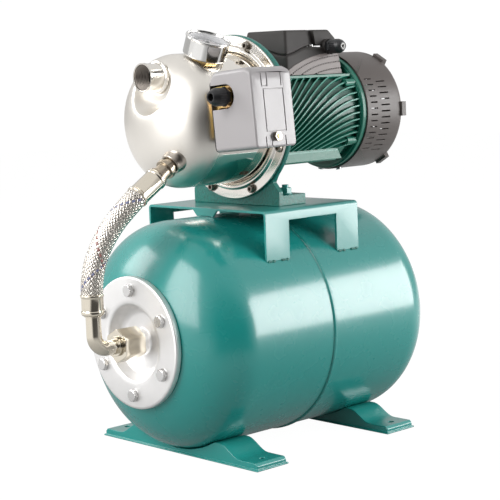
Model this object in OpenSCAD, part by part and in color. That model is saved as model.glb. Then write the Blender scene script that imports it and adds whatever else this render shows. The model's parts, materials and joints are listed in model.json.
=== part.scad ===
/* [Tank] */
// Outer radius of the tank cylinder
tank_r = 135; // [120:1:150]
// Clearance between the tank and the floor
tank_clear = 6.3; // [4:0.1:12]
// Length of the front shell's straight wall, from the weld seam
front_len = 118; // [100:1:140]
// Length of the rear shell's straight wall, from the weld seam
rear_len = 136; // [110:1:150]
// Depth of the drawn end of the front shell
front_cap = 77; // [65:1:90]
// Depth of the drawn end of the rear shell
rear_cap = 71; // [60:1:85]
// Roundness exponent of the drawn ends
cap_power = 2.27; // [2:0.01:2.6]
// Thickness of the tank shells
tank_wall = 1.6; // [1.2:0.1:2.5]
// Height that the seam weld stands out of the shell
seam_rise = 1.7; // [0.8:0.1:2.5]
// Width of the seam weld
seam_w = 5; // [3:0.5:8]
// Radius of the mouth in the front shell
mouth_r = 46; // [38:1:50]
// Thickness of the rubber bladder
bladder_wall = 1.8; // [1.2:0.1:3]

/* [Inlet flange] */
// Outer radius of the flange
flange_r = 77; // [72:1:84]
// Depth of the flange rim
flange_depth = 8.3; // [6:0.1:8.4]
// Thickness of the flange plate
flange_t = 2.5; // [2:0.1:4]
// Radius of the pressed step in the flange
flange_step_r = 43; // [38:1:48]
// Depth of the recess inside the step
flange_recess = 19; // [10:0.5:22]
// Pitch circle radius of the flange bolts
flange_bolt_pcr = 61; // [56:1:64]
// Number of flange bolts
flange_bolts_n = 6; // [4:1:8]
// Radius of the flange bolt shank
flange_bolt_r = 4; // [3:0.5:5]

/* [Feet] */
// Distance of each foot's centre from the seam
foot_x = 110; // [95:1:118]
// Width of a foot along the tank
foot_w = 50; // [40:1:60]
// Half of the length of a foot across the tank
foot_half = 138.7; // [132:0.1:150]
// Height of the flat ends of a foot
foot_h = 9; // [6:0.5:14]
// Half of the width of the saddle that holds the tank
saddle_half = 66; // [56:1:74]
// Thickness of the feet and platform sheet
sheet_t = 3; // [2:0.5:4]
// Width of the hem round a foot's lower edge
hem = 2; // [1:0.25:3]
// Distance of the floor bolt holes from the ends of a foot
floor_bolt_in = 16.7; // [12:0.1:20]
// Radius of the floor bolt holes
floor_bolt_r = 3.5; // [3:0.25:4.5]

/* [Platform] */
// Front edge of the platform
platform_x0 = -75; // [-85:1:-65]
// Rear edge of the platform
platform_x1 = 80.5; // [70:0.5:95]
// Half of the width of the platform
platform_half = 103.7; // [96:0.1:110]
// Height of the platform's top face above the tank
platform_rise = 9.9; // [8:0.1:30]
// Width of each platform leg
leg_w = 38; // [28:1:44]
// Depth of the band above the side windows
band_h = 13; // [9:0.5:18]

/* [Pump casing] */
// Gap between the bracket's rim and the platform
shaft_clear = 6.3; // [3:0.1:16]
// Outer radius of the casing barrel
casing_r = 78; // [72:1:82]
// Thickness of the drawn stainless casing
casing_wall = 1.5; // [1:0.1:2.5]
// Depth of the casing's domed end
dome_depth = 50; // [40:1:60]
// Length of the casing barrel
barrel_len = 85; // [75:1:95]
// Front face of the motor bracket along the shaft
bracket_x = -24; // [-30:0.5:-18]
// Thickness of the motor bracket's rim
bracket_t = 7.5; // [6:0.5:12]
// Width of the clamp ring outside the casing barrel
ring_w = 19.7; // [18:0.1:26]
// Thickness of the clamp ring
ring_t = 3; // [2:0.5:4]
// Rise of the clamp ring's inner bead
ring_bead = 3.5; // [2:0.5:5]
// Distance of the casing screws in from the clamp ring's edge
screw_in = 6.2; // [5:0.1:8]
// Number of casing screws
screws_n = 8; // [6:2:12]
// Radius of the casing screw shank
screw_r = 2.5; // [2:0.5:3]

/* [Ports] */
// Height of the suction port above the shaft
suction_rise = 52; // [46:1:54]
// Outer radius of the port stubs
stub_r = 16.6; // [14:0.1:19]
// Bore radius of the port stubs
stub_bore_r = 14; // [10:0.5:15]
// Length that the suction stub stands out of its boss
suction_len = 24; // [16:1:32]
// Radius of the flat seat under the suction port
boss_r = 20; // [18:0.5:22]
// How far the suction seat lies in front of the barrel
boss_out = 27; // [22:1:34]
// Radius of the pocket drawn into the dome around the suction port
pocket_r = 31; // [27:1:34]
// Angle of the discharge port from upright, towards the far side
discharge_angle = 50; // [35:1:60]
// Distance of the discharge port in front of the bracket
discharge_back = 56; // [45:1:66]
// Length that the discharge stub stands out of the barrel
discharge_len = 18; // [12:1:26]

/* [Motor] */
// Front face of the motor housing
housing_x = 2; // [0:0.5:6]
// Length of the motor housing
housing_len = 128; // [118:1:136]
// Inner radius of the motor housing
housing_bore_r = 60; // [57:0.5:60]
// Wall thickness of the motor housing
housing_wall = 3.2; // [3:0.1:4]
// Height of the cooling fins
fin_h = 5.4; // [4:0.1:6.5]
// Thickness of a fin at its tip, in degrees
fin_tip = 1.5; // [1:0.1:2.2]
// Pitch of the cooling fins, in degrees
fin_pitch = 7; // [6:0.25:9]
// Sweep of the fins from the rear to the front, in degrees
fin_sweep = 62; // [40:1:75]
// Height of the terminal box seat above the shaft
seat_rise = 47; // [45:0.5:50]
// Length of the stator core
core_len = 60; // [45:1:66]
// Bore radius of the stator core
stator_bore_r = 33; // [30:0.5:36]
// Air gap between rotor and stator
air_gap = 0.4; // [0.3:0.05:0.8]
// Radius of the shaft at its bearings
shaft_r = 8.5; // [8:0.25:9]
// Outer radius of the ball bearings
bearing_r = 20; // [19:0.5:21]
// Width of the ball bearings
bearing_w = 12; // [11:0.5:13]
// Number of balls in a bearing
balls_n = 8; // [6:1:8]

/* [Fan end] */
// Outer radius of the rear shield
shield_r = 72; // [70:0.5:73]
// Thickness of the rear shield's rim
shield_t = 9; // [7:0.5:12]
// Outer radius of the fan cover
cover_r = 74; // [73.5:0.5:78]
// Length of the fan cover behind the shield
cover_len = 68; // [54:1:76]
// Wall thickness of the fan cover
cover_wall = 2.4; // [2:0.1:3]
// Corner radius of the fan cover
cover_corner = 8; // [5:0.5:14]
// Number of lugs round the fan cover's rear corner
lugs_n = 6; // [4:1:8]
// Number of air slots in each row of a side of the fan cover
slots_n = 13; // [8:1:16]
// Number of fan blades
blades_n = 8; // [6:1:11]

/* [Terminal box] */
// Distance of the terminal box behind the front of the motor housing
box_setback = 24; // [18:1:32]
// Distance of the terminal box in front of the rear shield
box_gap = 6; // [4:0.5:12]
// Half of the width of the terminal box at its seat
box_half = 45; // [40:1:47]
// Height of the terminal box below its lid
box_h = 19; // [17:0.5:19.5]
// Height of the lid
lid_h = 36; // [32:0.5:40]
// Inward slope of the box and lid at the top of the lid
box_draft = 12; // [8:1:14]
// Lean of the box's rear end towards the top
rear_slope = 8; // [4:1:12]
// Wall thickness of the terminal box and the switch cover
box_wall = 2.5; // [2:0.1:3]
// Outer radius of a cable gland nut
gland_r = 9; // [8:0.5:10]
// Radius of a cable gland's bore
gland_bore_r = 3.6; // [3:0.1:4.5]

/* [Pressure switch] */
// Distance of the switch in front of the bracket
switch_back = 77; // [70:1:82]
// Upward tilt of the switch
switch_tilt = 5; // [0:1:10]
// Width of the switch cover
switch_w = 60; // [56:1:64]
// Height of the switch cover
switch_h = 89; // [80:1:94]
// Distance of the switch cover's lower edge below the shaft
switch_low = 41.5; // [36:0.5:46]
// Depth of the switch cover
switch_d = 60; // [52:1:66]
// Gap between the casing barrel and the switch base
switch_gap = 3; // [2:0.5:6]
// Depth of the yellow switch base
base_d = 10.5; // [8:0.5:14]
// Travel of the switch plunger
plunger_travel = 1.5; // [1:0.1:2]

/* [Gauge] */
// Distance of the gauge in front of the bracket
gauge_back = 69; // [60:1:74]
// Tilt of the gauge from upright, towards the near side
gauge_tilt = 22.5; // [15:0.5:30]
// Radius of the gauge case
gauge_r = 26.5; // [23:0.5:29]
// Height of the gauge case
gauge_h = 23; // [18:1:28]

/* [Hose fittings] */
// Distance of the elbow's upright arm in front of the seam
elbow_x = 248; // [246:1:252]
// Outer radius of the elbow tube
elbow_r = 8.7; // [7.5:0.1:9.5]
// Bend radius of the elbow
elbow_bend = 17; // [15:0.5:20]
// Outer radius of the braided hose
hose_r = 12.5; // [12:0.25:12.75]
// Outer radius of the hose ferrules
ferrule_r = 13.6; // [13.2:0.1:14.5]
// Half of the width of the union nut across its flats
union_af = 17.3; // [16.8:0.1:19]

/* [Hidden] */
$fn = 64;

// Gap left between curved faces that rest on each other
seat = 0.3;
// Radial clearance of a running fit
running = 0.05;
// Overshoot of a cutting solid past the face that it cuts
over = 1;
// Radial clearance of a bolt in its hole
bolt_gap = 0.5;

// Tank places
tank_z = tank_r + tank_clear;
floor_bolt_y = foot_half - floor_bolt_in;
platform_z = tank_z + tank_r + platform_rise;
shell_x = -front_len;
rear_x = rear_len;
land_r = flange_r - 3;
land_x = shell_x - cap_depth_at(land_r, tank_r, front_cap);
bladder_rim_t = 2;
flange_back_x = land_x - bladder_rim_t;
flange_x = flange_back_x - flange_t - 4;
recess_x = flange_x + flange_recess;
zinc_stub_r = 14;
union_setback = 12.5;
union_len = 29;
union_x1 = recess_x - union_setback;
union_x0 = union_x1 - union_len;
union_neck = 9;
tail_flange_t = 3.7;
zinc_stub_x = union_x0 + union_neck + seat + tail_flange_t + seat;

// Pump places
ring_r = casing_r + ring_w;
screw_pcr = ring_r - screw_in;
bracket_r = ring_r + 0.8;
shaft_z = platform_z + bracket_r + shaft_clear;
lip_x = bracket_x - casing_wall;
ring_x = lip_x - ring_t;
barrel_x = lip_x - barrel_len;
dome_x = barrel_x - dome_depth;
boss_x = barrel_x - boss_out;
suction_z = shaft_z + suction_rise;
lip_r = ring_r - 1.7;
housing_x1 = housing_x + housing_len;
housing_r = housing_bore_r + housing_wall;
fin_r = housing_r + fin_h;
shield_x = housing_x1 + shield_t;
cover_x1 = shield_x + cover_len;
box_x0 = housing_x + box_setback;
box_len = housing_len - box_setback - box_gap;
core_x = housing_x + 36;
front_bearing_x = housing_x + 2;
rear_bearing_x = housing_x1 - bearing_w - 2;
race_mid_r = (shaft_r + bearing_r) / 2;
ball_r = 0.29 * (bearing_r - shaft_r);
seat_z = shaft_z + seat_rise;
switch_x = bracket_x - switch_back;
gauge_x = bracket_x - gauge_back;
discharge_x = bracket_x - discharge_back;
switch_base_y = casing_r + switch_gap;
switch_front_y = switch_base_y + base_d;
switch_drop = 2;

// Bracket foot
pad_half = 75;
pad_x1 = 21;
pad_t = 12.5;
pad_bolt_x = -2;
pad_bolt_y = 64;
pad_bolt_r = 4;

// Hose route: the free length between the two ferrules, in millimetres
hose_route = [[-248, 0, 205], [-249, -2, 216], [-248.5, -4, 227], [-247, -6, 238],
  [-244.5, -9, 248.5], [-241, -12, 258.5], [-236.5, -15, 268.5], [-231, -18, 278],
  [-225, -21.5, 287], [-218, -25, 295.5], [-210.5, -28, 303.5], [-202, -30, 311]];
upper_root = [barrel_x - 0.73 * dome_depth, -0.3718 * casing_r, shaft_z - 0.5833 * casing_r];
hose_sides = 12;

// Depth of a drawn end at the place where its radius is r
function cap_depth_at(r, big_r, depth) =
  depth * pow(1 - pow(r / big_r, cap_power), 1 / cap_power);
// Points [x, r] of a drawn end from the straight wall inwards to radius r_end
function cap_points(big_r, depth, r_end, steps) =
  let (last = acos(pow(r_end / big_r, cap_power / 2)))
  [for (i = [0:steps]) let (a = last * i / steps)
    [depth * pow(sin(a), 2 / cap_power), big_r * pow(cos(a), 2 / cap_power)]];
function shifted(pts, x, sign) = [for (p = pts) [x + sign * p[0], p[1]]];
function reversed(pts) = [for (i = [len(pts) - 1:-1:0]) pts[i]];
function unit(v) = v / norm(v);

// Solid of revolution about the X axis from points [x, r]
module spun(points, facets = 96) {
  rotate([0, 90, 0]) rotate_extrude($fn = facets) polygon([for (p = points) [p[1], p[0]]]);
}
// Cylinder along X from x0 to x1
module bar_x(x0, x1, r, facets = 64) {
  translate([x0, 0, 0]) rotate([0, 90, 0]) cylinder(h = x1 - x0, r = r, $fn = facets);
}
// Tube along X
module tube_x(x0, x1, r, bore, facets = 96) {
  difference() {
    bar_x(x0, x1, r, facets);
    bar_x(x0 - over, x1 + over, bore, facets);
  }
}
// Places children on the shaft line or the tank line
module on_shaft() translate([0, 0, shaft_z]) children();
module on_tank() translate([0, 0, tank_z]) children();
// Copies children n times around the X axis
module around_x(n, start = 0) {
  for (i = [0:n - 1]) rotate([start + i * 360 / n, 0, 0]) children();
}
// Extrudes a [y, z] outline along X
module plate_x(x0, x1, points) {
  translate([x0, 0, 0]) rotate([90, 0, 90]) linear_extrude(height = x1 - x0) polygon(points);
}
// Hexagonal head or nut whose axis is +Z
module hexagon(af_half, h) cylinder(r = af_half / cos(30), h = h, $fn = 6);

// TANK
module tank_shell_front() color("teal") on_tank() {
  outer = shifted(cap_points(tank_r, front_cap, land_r, 12), shell_x, -1);
  inner = shifted(cap_points(tank_r - tank_wall, front_cap - tank_wall, land_r - tank_wall, 12),
    shell_x, -1);
  difference() {
    spun(concat([[0, tank_r]], outer, [[land_x, mouth_r], [land_x + tank_wall, mouth_r],
      [land_x + tank_wall, land_r - tank_wall]], reversed(inner), [[0, tank_r - tank_wall]]));
    around_x(flange_bolts_n) translate([0, 0, flange_bolt_pcr])
      bar_x(land_x - over, land_x + tank_wall + over, flange_bolt_r + bolt_gap, 32);
  }
}

module tank_shell_rear() color("teal") on_tank() {
  valve_r = 6;
  outer = shifted(cap_points(tank_r, rear_cap, valve_r, 14), rear_x, 1);
  inner = shifted(cap_points(tank_r - tank_wall, rear_cap - tank_wall, valve_r, 14), rear_x, 1);
  bead = [for (i = [0:6]) let (a = 180 * i / 6)
    [seam_w / 2 * (1 - cos(a)), tank_r + seam_rise * sin(a)]];
  spun(concat([[0, tank_r - tank_wall]], bead, outer, reversed(inner)));
}

module tank_bladder() color("dimgray") on_tank() {
  body_r = tank_r - tank_wall - 14;
  start = land_x + tank_wall + seat;
  neck_r = mouth_r - seat;
  tail = rear_x + rear_cap - 34;
  rim_x = flange_back_x + running;
  outer = [[rim_x, land_r - 2], [land_x, land_r - 2], [land_x, neck_r],
    [start + 13, neck_r], [start + 30, body_r * 0.8], [start + 56, body_r],
    [tail - 60, body_r], [tail - 26, body_r * 0.86], [tail - 6, body_r * 0.5], [tail, 0]];
  inner_r = body_r - bladder_wall;
  inner = [[tail - bladder_wall, 0], [tail - 6 - bladder_wall, body_r * 0.5 - bladder_wall],
    [tail - 27, body_r * 0.86 - bladder_wall], [tail - 60, inner_r], [start + 56, inner_r],
    [start + 31, body_r * 0.8 - bladder_wall], [start + 14, neck_r - bladder_wall],
    [rim_x, neck_r - bladder_wall]];
  difference() {
    spun(concat(outer, inner));
    around_x(flange_bolts_n) translate([0, 0, flange_bolt_pcr])
      bar_x(flange_back_x - over, land_x + over, flange_bolt_r + bolt_gap, 32);
  }
}

module inlet_flange() color("gainsboro") on_tank() {
  skirt_x = flange_x + flange_depth;
  hub_r = zinc_stub_r;
  step_in_r = flange_step_r - 6;
  seat_in = flange_back_x - flange_x;
  difference() {
    union() {
      spun([[flange_x + 1.5, flange_r], [flange_x, flange_r - 1.5], [flange_x, flange_step_r + 3],
        [flange_x + 1, flange_step_r], [recess_x - 1, step_in_r], [recess_x, step_in_r - 3],
        [recess_x - 1.5, hub_r + 8], [recess_x - 1.5, hub_r], [zinc_stub_x, hub_r],
        [zinc_stub_x, hub_r - 3.4], [recess_x + flange_t, hub_r - 3.4],
        [recess_x + flange_t, step_in_r], [flange_x + flange_t + 1, flange_step_r + 2.5],
        [flange_back_x, flange_step_r + 5], [flange_back_x, land_r - 4],
        [flange_x + flange_t, land_r - 1], [skirt_x, flange_r - flange_t], [skirt_x, flange_r]]);
    }
    around_x(flange_bolts_n) translate([0, 0, flange_bolt_pcr])
      bar_x(flange_x - over, flange_x + seat_in + over, flange_bolt_r + bolt_gap, 32);
  }
}

module flange_bolts() color("silver") on_tank() {
  flats = flange_bolt_r * 1.625;
  head = flange_bolt_r * 1.325;
  nut = flange_bolt_r * 1.6;
  grip = land_x + tank_wall - flange_x;
  around_x(flange_bolts_n) translate([flange_x, 0, flange_bolt_pcr]) rotate([0, -90, 0]) {
    hexagon(flats, head);
    translate([0, 0, -grip - nut - 2 * seat]) cylinder(r = flange_bolt_r, h = grip + nut + 2 * seat + over);
    translate([0, 0, -grip - nut - seat]) hexagon(flats, nut);
  }
}

// Height of the upper face of a foot at distance y from the centre plane
function foot_top(y) =
  let (r = tank_r + seat, crest = tank_z - sqrt(r * r - saddle_half * saddle_half),
    flat = saddle_half + 8, down = foot_half - 30.7)
  y < saddle_half ? tank_z - sqrt(r * r - y * y)
    : y < flat ? crest
    : y < down ? foot_h + (crest - foot_h) * (1 + cos(180 * (y - flat) / (down - flat))) / 2
    : foot_h;
hem_t = 2;
sleeve_r = 8;
module foot(x) translate([x, 0, 0]) {
  step = 4;
  slope = 3;
  body_half = foot_half - hem;
  body_w = foot_w / 2 - hem;
  inner_half = body_half - sheet_t;
  half_top = concat([for (y = [0:step:body_half - step]) [y, foot_top(y)]],
    [[body_half - slope, foot_h], [body_half, foot_h - slope]]);
  outline = concat(half_top, [[body_half, 0], [-body_half, 0]],
    [for (i = [len(half_top) - 1:-1:1]) [-half_top[i][0], half_top[i][1]]]);
  inner_top = concat([for (y = [0:step:inner_half - step]) [y, foot_top(y) - sheet_t]],
    [[inner_half - slope / 2, foot_h - sheet_t], [inner_half, foot_h - slope]]);
  hollow = concat(inner_top, [[inner_half, -over], [-inner_half, -over]],
    [for (i = [len(inner_top) - 1:-1:1]) [-inner_top[i][0], inner_top[i][1]]]);
  difference() {
    union() {
      difference() {
        union() {
          plate_x(-body_w, body_w, outline);
          translate([-foot_w / 2, -foot_half, 0]) cube([foot_w, 2 * foot_half, hem_t]);
        }
        plate_x(-body_w + sheet_t, body_w - sheet_t, hollow);
      }
      for (side = [-1, 1]) translate([0, side * floor_bolt_y, 0])
        cylinder(r = sleeve_r, h = foot_h - sheet_t + over);
    }
    for (side = [-1, 1]) translate([0, side * floor_bolt_y, -over])
      cylinder(r = floor_bolt_r, h = foot_h + 2 * over);
  }
}
module foot_front() color("teal") foot(-foot_x);
module foot_rear() color("teal") foot(foot_x);

module pump_platform() color("teal") {
  bend = 5;
  low = tank_z + 60;
  inner = platform_half - sheet_t;
  top_in = platform_z - sheet_t;
  arc_out = [for (i = [0:5]) let (a = 90 * i / 5)
    [platform_half - bend + bend * sin(a), platform_z - bend + bend * cos(a)]];
  arc_in = [for (i = [0:5]) let (a = 90 * i / 5, r = bend - sheet_t)
    [inner - r + r * sin(a), top_in - r + r * cos(a)]];
  outside = concat(arc_out, [[platform_half, low], [inner, low]], reversed(arc_in));
  mirrored = [for (p = reversed(outside)) [-p[0], p[1]]];
  difference() {
    union() {
      plate_x(platform_x0, platform_x1, concat(outside, mirrored));
      for (x = [platform_x0, platform_x1 - sheet_t])
        plate_x(x, x + sheet_t, [[-21, platform_z - over], [21, platform_z - over],
          [21, top_in], [11, tank_z + tank_r - 4], [-11, tank_z + tank_r - 4], [-21, top_in]]);
    }
    translate([platform_x0 + leg_w, -platform_half - over, low - over])
      cube([platform_x1 - platform_x0 - 2 * leg_w, 2 * (platform_half + over),
        platform_z - band_h - low + over]);
    on_tank() bar_x(platform_x0 - over, platform_x1 + over, tank_r + seat, 128);
    for (side = [-1, 1]) translate([pad_bolt_x, side * pad_bolt_y, top_in - over])
      cylinder(r = pad_bolt_r + bolt_gap, h = sheet_t + 2 * over);
  }
}

// AIR VALVE
valve_x = rear_x + rear_cap;
valve_tube_r = 4.2;
valve_core_r = 1.5;
valve_len = 24;
module air_valve() color("goldenrod") on_tank() {
  difference() {
    union() {
      bar_x(valve_x - tank_wall - 7, valve_x + valve_len, valve_tube_r);
      bar_x(valve_x + 0.6, valve_x + 5, 9);
      bar_x(valve_x - tank_wall - 6, valve_x - tank_wall - 2, 9);
    }
    bar_x(valve_x - tank_wall - 8, valve_x + valve_len + over, valve_core_r + seat);
  }
}
module air_valve_core() color("silver") on_tank() {
  bar_x(valve_x + 2, valve_x + valve_len - 1, valve_core_r);
}
module air_valve_cap() color("dimgray") on_tank() {
  spun([[valve_x + 5.2, valve_tube_r + seat], [valve_x + 5.2, 6.4], [valve_x + valve_len + 1, 6.4],
    [valve_x + valve_len + 3, 4.6], [valve_x + valve_len + 3, 0], [valve_x + valve_len + 1.3, 0],
    [valve_x + valve_len + 1.3, valve_tube_r + seat]], 24);
}

// HOSE FITTINGS
// Turns +Z onto a direction vector
module aim(v) rotate([0, acos(v[2] / norm(v)), atan2(v[1], v[0])]) children();
ferrule_z0 = hose_route[0][2] - 23.5;
elbow_bore_r = elbow_r - 2.2;
module union_nut() color("tan") on_tank() translate([union_x0, 0, 0]) rotate([0, 90, 0])
  difference() {
    intersection() {
      hexagon(union_af, union_len);
      cylinder(r = union_af / cos(30) - 0.8, h = union_len);
    }
    translate([0, 0, union_neck]) cylinder(r = zinc_stub_r + seat, h = union_len);
    translate([0, 0, -over]) cylinder(r = elbow_r + seat, h = union_len);
  }
// The elbow's bend, from the pipe along the tank line up to the hose arm
module elbow_curve(r) translate([-elbow_x + elbow_bend, 0, tank_z + elbow_bend]) rotate([90, 0, 0])
  rotate([0, 0, 180]) rotate_extrude(angle = 90, $fn = 96) translate([elbow_bend, 0]) circle(r = r, $fn = 48);
module hose_elbow() color("tan") {
  bend_z = tank_z + elbow_bend;
  bend_x = -elbow_x + elbow_bend;
  tail_x = union_x0 + union_neck + seat;
  bead = 3;
  difference() {
    union() {
      on_tank() bar_x(bend_x, tail_x + over, elbow_r);
      on_tank() bar_x(union_x0 - seat - bead, union_x0 - seat, elbow_r + 2.8);
      on_tank() bar_x(tail_x, tail_x + tail_flange_t, zinc_stub_r - 0.5);
      elbow_curve(elbow_r);
      translate([-elbow_x, 0, bend_z]) cylinder(r = elbow_r, h = ferrule_z0 - bend_z);
      translate([-elbow_x, 0, ferrule_z0 - bead / 2]) cylinder(r = elbow_r + 1.7, h = bead / 2);
    }
    on_tank() bar_x(bend_x, tail_x + tail_flange_t + over, elbow_bore_r);
    elbow_curve(elbow_bore_r);
    translate([-elbow_x, 0, bend_z]) cylinder(r = elbow_bore_r, h = ferrule_z0 - bend_z + over);
  }
}
// Crimped ferrule along +Z with a bead at each end, its hose end up
module ferrule(len) rotate_extrude($fn = 64) {
  body = ferrule_r - 1;
  polygon([[elbow_bore_r, 0], [body, 0], [ferrule_r, 1.2], [ferrule_r, 3], [body, 4.2],
    [body, len - 5], [ferrule_r, len - 3.5], [ferrule_r, len - 1.2], [ferrule_r - 0.8, len],
    [elbow_bore_r, len]]);
}
module lower_ferrule() color("tan") translate([-elbow_x, 0, ferrule_z0])
  ferrule(hose_route[0][2] - ferrule_z0);
hose_end = hose_route[len(hose_route) - 1];
upper_dir = unit(upper_root - hose_end);
ferrule_top_len = 37;
module upper_ferrule() color("tan")
  translate(hose_end + ferrule_top_len * upper_dir) aim(-upper_dir) ferrule(ferrule_top_len);
nipple_r = 9.4;
module hose_nipple() color("tan") translate(hose_end + ferrule_top_len * upper_dir) aim(upper_dir) {
  rest = norm(upper_root - hose_end) - ferrule_top_len;
  depth = 6;
  difference() {
    union() {
      cylinder(r = nipple_r, h = rest + depth);
      cylinder(r = nipple_r + 2.1, h = 3);
      translate([0, 0, rest - 14]) cylinder(r = nipple_r + 2.6, h = 5);
    }
    translate([0, 0, -over]) cylinder(r = elbow_bore_r, h = rest + depth + 2 * over);
  }
}
// Direction of the hose at point i of its route
function heading(i) =
  let (n = len(hose_route))
  i == 0 ? unit(hose_route[1] - hose_route[0])
    : i == n - 1 ? unit(hose_route[n - 1] - hose_route[n - 2])
    : unit(hose_route[i + 1] - hose_route[i - 1]);
module braided_hose() color("silver") {
  n = len(hose_route);
  side = unit(cross(heading(0), [0, 1, 0]));
  rings = [for (i = [0:n - 1])
    let (t = i == 0 ? [0, 0, 1] : i == n - 1 ? upper_dir : heading(i),
      u = unit(side - (side * t) * t), v = cross(t, u))
    for (k = [0:hose_sides - 1]) let (a = 360 * k / hose_sides)
      hose_route[i] + hose_r * (cos(a) * u + sin(a) * v)];
  walls = [for (i = [0:n - 2]) for (k = [0:hose_sides - 1])
    let (a = i * hose_sides + k, b = i * hose_sides + (k + 1) % hose_sides)
    each [[a, a + hose_sides, b], [b, a + hose_sides, b + hose_sides]]];
  start = [for (k = [0:hose_sides - 1]) k];
  finish = [for (k = [hose_sides - 1:-1:0]) (n - 1) * hose_sides + k];
  polyhedron(points = rings, faces = concat([start], walls, [finish]), convexity = 4);
}

// PUMP END
function dome_points(r, depth, r_end, steps) =
  let (last = acos(r_end / r))
  [for (i = [0:steps]) let (a = last * i / steps) [barrel_x - depth * sin(a), r * cos(a)]];
module suction_axis() translate([0, 0, suction_z]) children();
// Space in front of the suction seat that the dome is drawn back from
pocket_drop = 7;
module suction_pocket(grow) {
  translate([0, 0, suction_z - pocket_drop])
    spun([[dome_x - 10, 0], [dome_x - 10, pocket_r + 8 + grow], [dome_x + 4, pocket_r + 4 + grow],
      [boss_x - 12, pocket_r + grow], [boss_x - 4, pocket_r - 3 + grow],
      [boss_x + grow - 1, pocket_r - 7 + grow], [boss_x + grow, pocket_r - 11], [boss_x + grow, 0]], 64);
  suction_axis() bar_x(dome_x, boss_x + grow, boss_r + grow);
}
module pump_casing() color("gainsboro") {
  inner_r = casing_r - casing_wall;
  difference() {
    union() {
      difference() {
        on_shaft() spun(concat([[bracket_x, 0], [bracket_x, lip_r], [lip_x, lip_r],
          [lip_x, casing_r + 3], [lip_x - 3, casing_r]], dome_points(casing_r, dome_depth, 0.01, 16),
          [[dome_x, 0]]));
        suction_pocket(0);
      }
      suction_axis() bar_x(boss_x, barrel_x, boss_r);
      translate(upper_root) aim(upper_dir) translate([0, 0, -4]) cylinder(r = 15, h = 14);
    }
    difference() {
      on_shaft() spun(concat(dome_points(inner_r, dome_depth - casing_wall, 0.01, 16),
        [[dome_x + casing_wall, 0], [bracket_x + over, 0], [bracket_x + over, inner_r]]));
      suction_pocket(casing_wall);
    }
    suction_axis() {
      bar_x(boss_x + casing_wall, barrel_x + over, boss_r - casing_wall);
      bar_x(boss_x - over, boss_x + 8, spigot_r + seat);
    }
    translate([discharge_x, 0, shaft_z]) rotate([-discharge_angle, 0, 0])
      cylinder(r = stub_bore_r + bolt_gap, h = casing_r + 10);
    translate([gauge_x, 0, shaft_z]) rotate([gauge_tilt, 0, 0])
      cylinder(r = 5 + seat, h = casing_r + 10, $fn = 32);
    translate([switch_x, 0, shaft_z]) rotate([90 - switch_tilt, 0, 0])
      cylinder(r = 6.5 + seat, h = casing_r + 10, $fn = 32);
    translate(upper_root) aim(upper_dir) translate([0, 0, -20])
      cylinder(r = nipple_r + seat, h = 60);
    on_shaft() around_x(screws_n, 180 / screws_n) translate([0, 0, screw_pcr])
      bar_x(lip_x - over, bracket_x + over, screw_r + bolt_gap, 24);
  }
}
module clamp_ring() color("gainsboro") on_shaft() {
  inner = casing_r + 3.4;
  step = screw_pcr - 5.5;
  difference() {
    spun([[lip_x, inner], [lip_x, ring_r], [ring_x + 0.6, ring_r], [ring_x, ring_r - 0.6],
      [ring_x, step + 0.6], [ring_x - ring_bead + 1, step], [ring_x - ring_bead, step - 1],
      [ring_x - ring_bead, inner]], 128);
    around_x(screws_n, 180 / screws_n) translate([0, 0, screw_pcr])
      bar_x(ring_x - over, lip_x + over, screw_r + bolt_gap, 24);
  }
}
screw_len = ring_t + casing_wall + 8;
module casing_screws() color("slategray") on_shaft() {
  around_x(screws_n, 180 / screws_n) translate([ring_x, 0, screw_pcr]) rotate([0, -90, 0])
    difference() {
      union() {
        cylinder(r = screw_r * 1.8, h = screw_r * 2, $fn = 32);
        translate([0, 0, -screw_len]) cylinder(r = screw_r, h = screw_len + over, $fn = 32);
      }
      translate([0, 0, screw_r]) hexagon(screw_r * 0.9, screw_r + over);
    }
}
module casing_seal() color("black") on_shaft() {
  tube_x(bracket_x + seat, bracket_x + 2.4, casing_r + 3, casing_r + 0.6);
}
plate_t = 2;
module seal_plate() color("silver") on_shaft() {
  tube_x(bracket_x - plate_t, bracket_x, casing_r - casing_wall - seat, 15);
}
// Suction stub: its spigot passes through the boss of the casing
spigot_r = stub_r - 1.3;
spigot_x1 = boss_x + casing_wall + 1.5;
module suction_stub() color("gainsboro") suction_axis() difference() {
  union() {
    bar_x(boss_x - suction_len, boss_x, stub_r, 96);
    bar_x(boss_x - 3, boss_x, stub_r + collar_w, 96);
    bar_x(boss_x - over, spigot_x1, spigot_r, 96);
  }
  bar_x(boss_x - suction_len - over, spigot_x1 + over, stub_bore_r, 96);
}
collar_w = 2.4;
module discharge_stub() color("gainsboro") {
  flat = sqrt(casing_r * casing_r - stub_r * stub_r);
  translate([discharge_x, 0, shaft_z]) rotate([-discharge_angle, 0, 0]) difference() {
    union() {
      cylinder(r = stub_r, h = casing_r + discharge_len, $fn = 96);
      cylinder(r = stub_r + collar_w, h = casing_r + 2, $fn = 96);
    }
    translate([0, 0, -over]) cylinder(r = stub_bore_r, h = casing_r + discharge_len + 2 * over, $fn = 96);
    rotate([0, 90, 0]) translate([0, 0, -stub_r - 2 * collar_w])
      cylinder(r = casing_r + seat, h = 2 * (stub_r + 2 * collar_w), $fn = 96);
    translate([0, 0, -casing_r]) cylinder(r = stub_r + 2 * collar_w, h = casing_r + flat / 2);
  }
}

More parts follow.
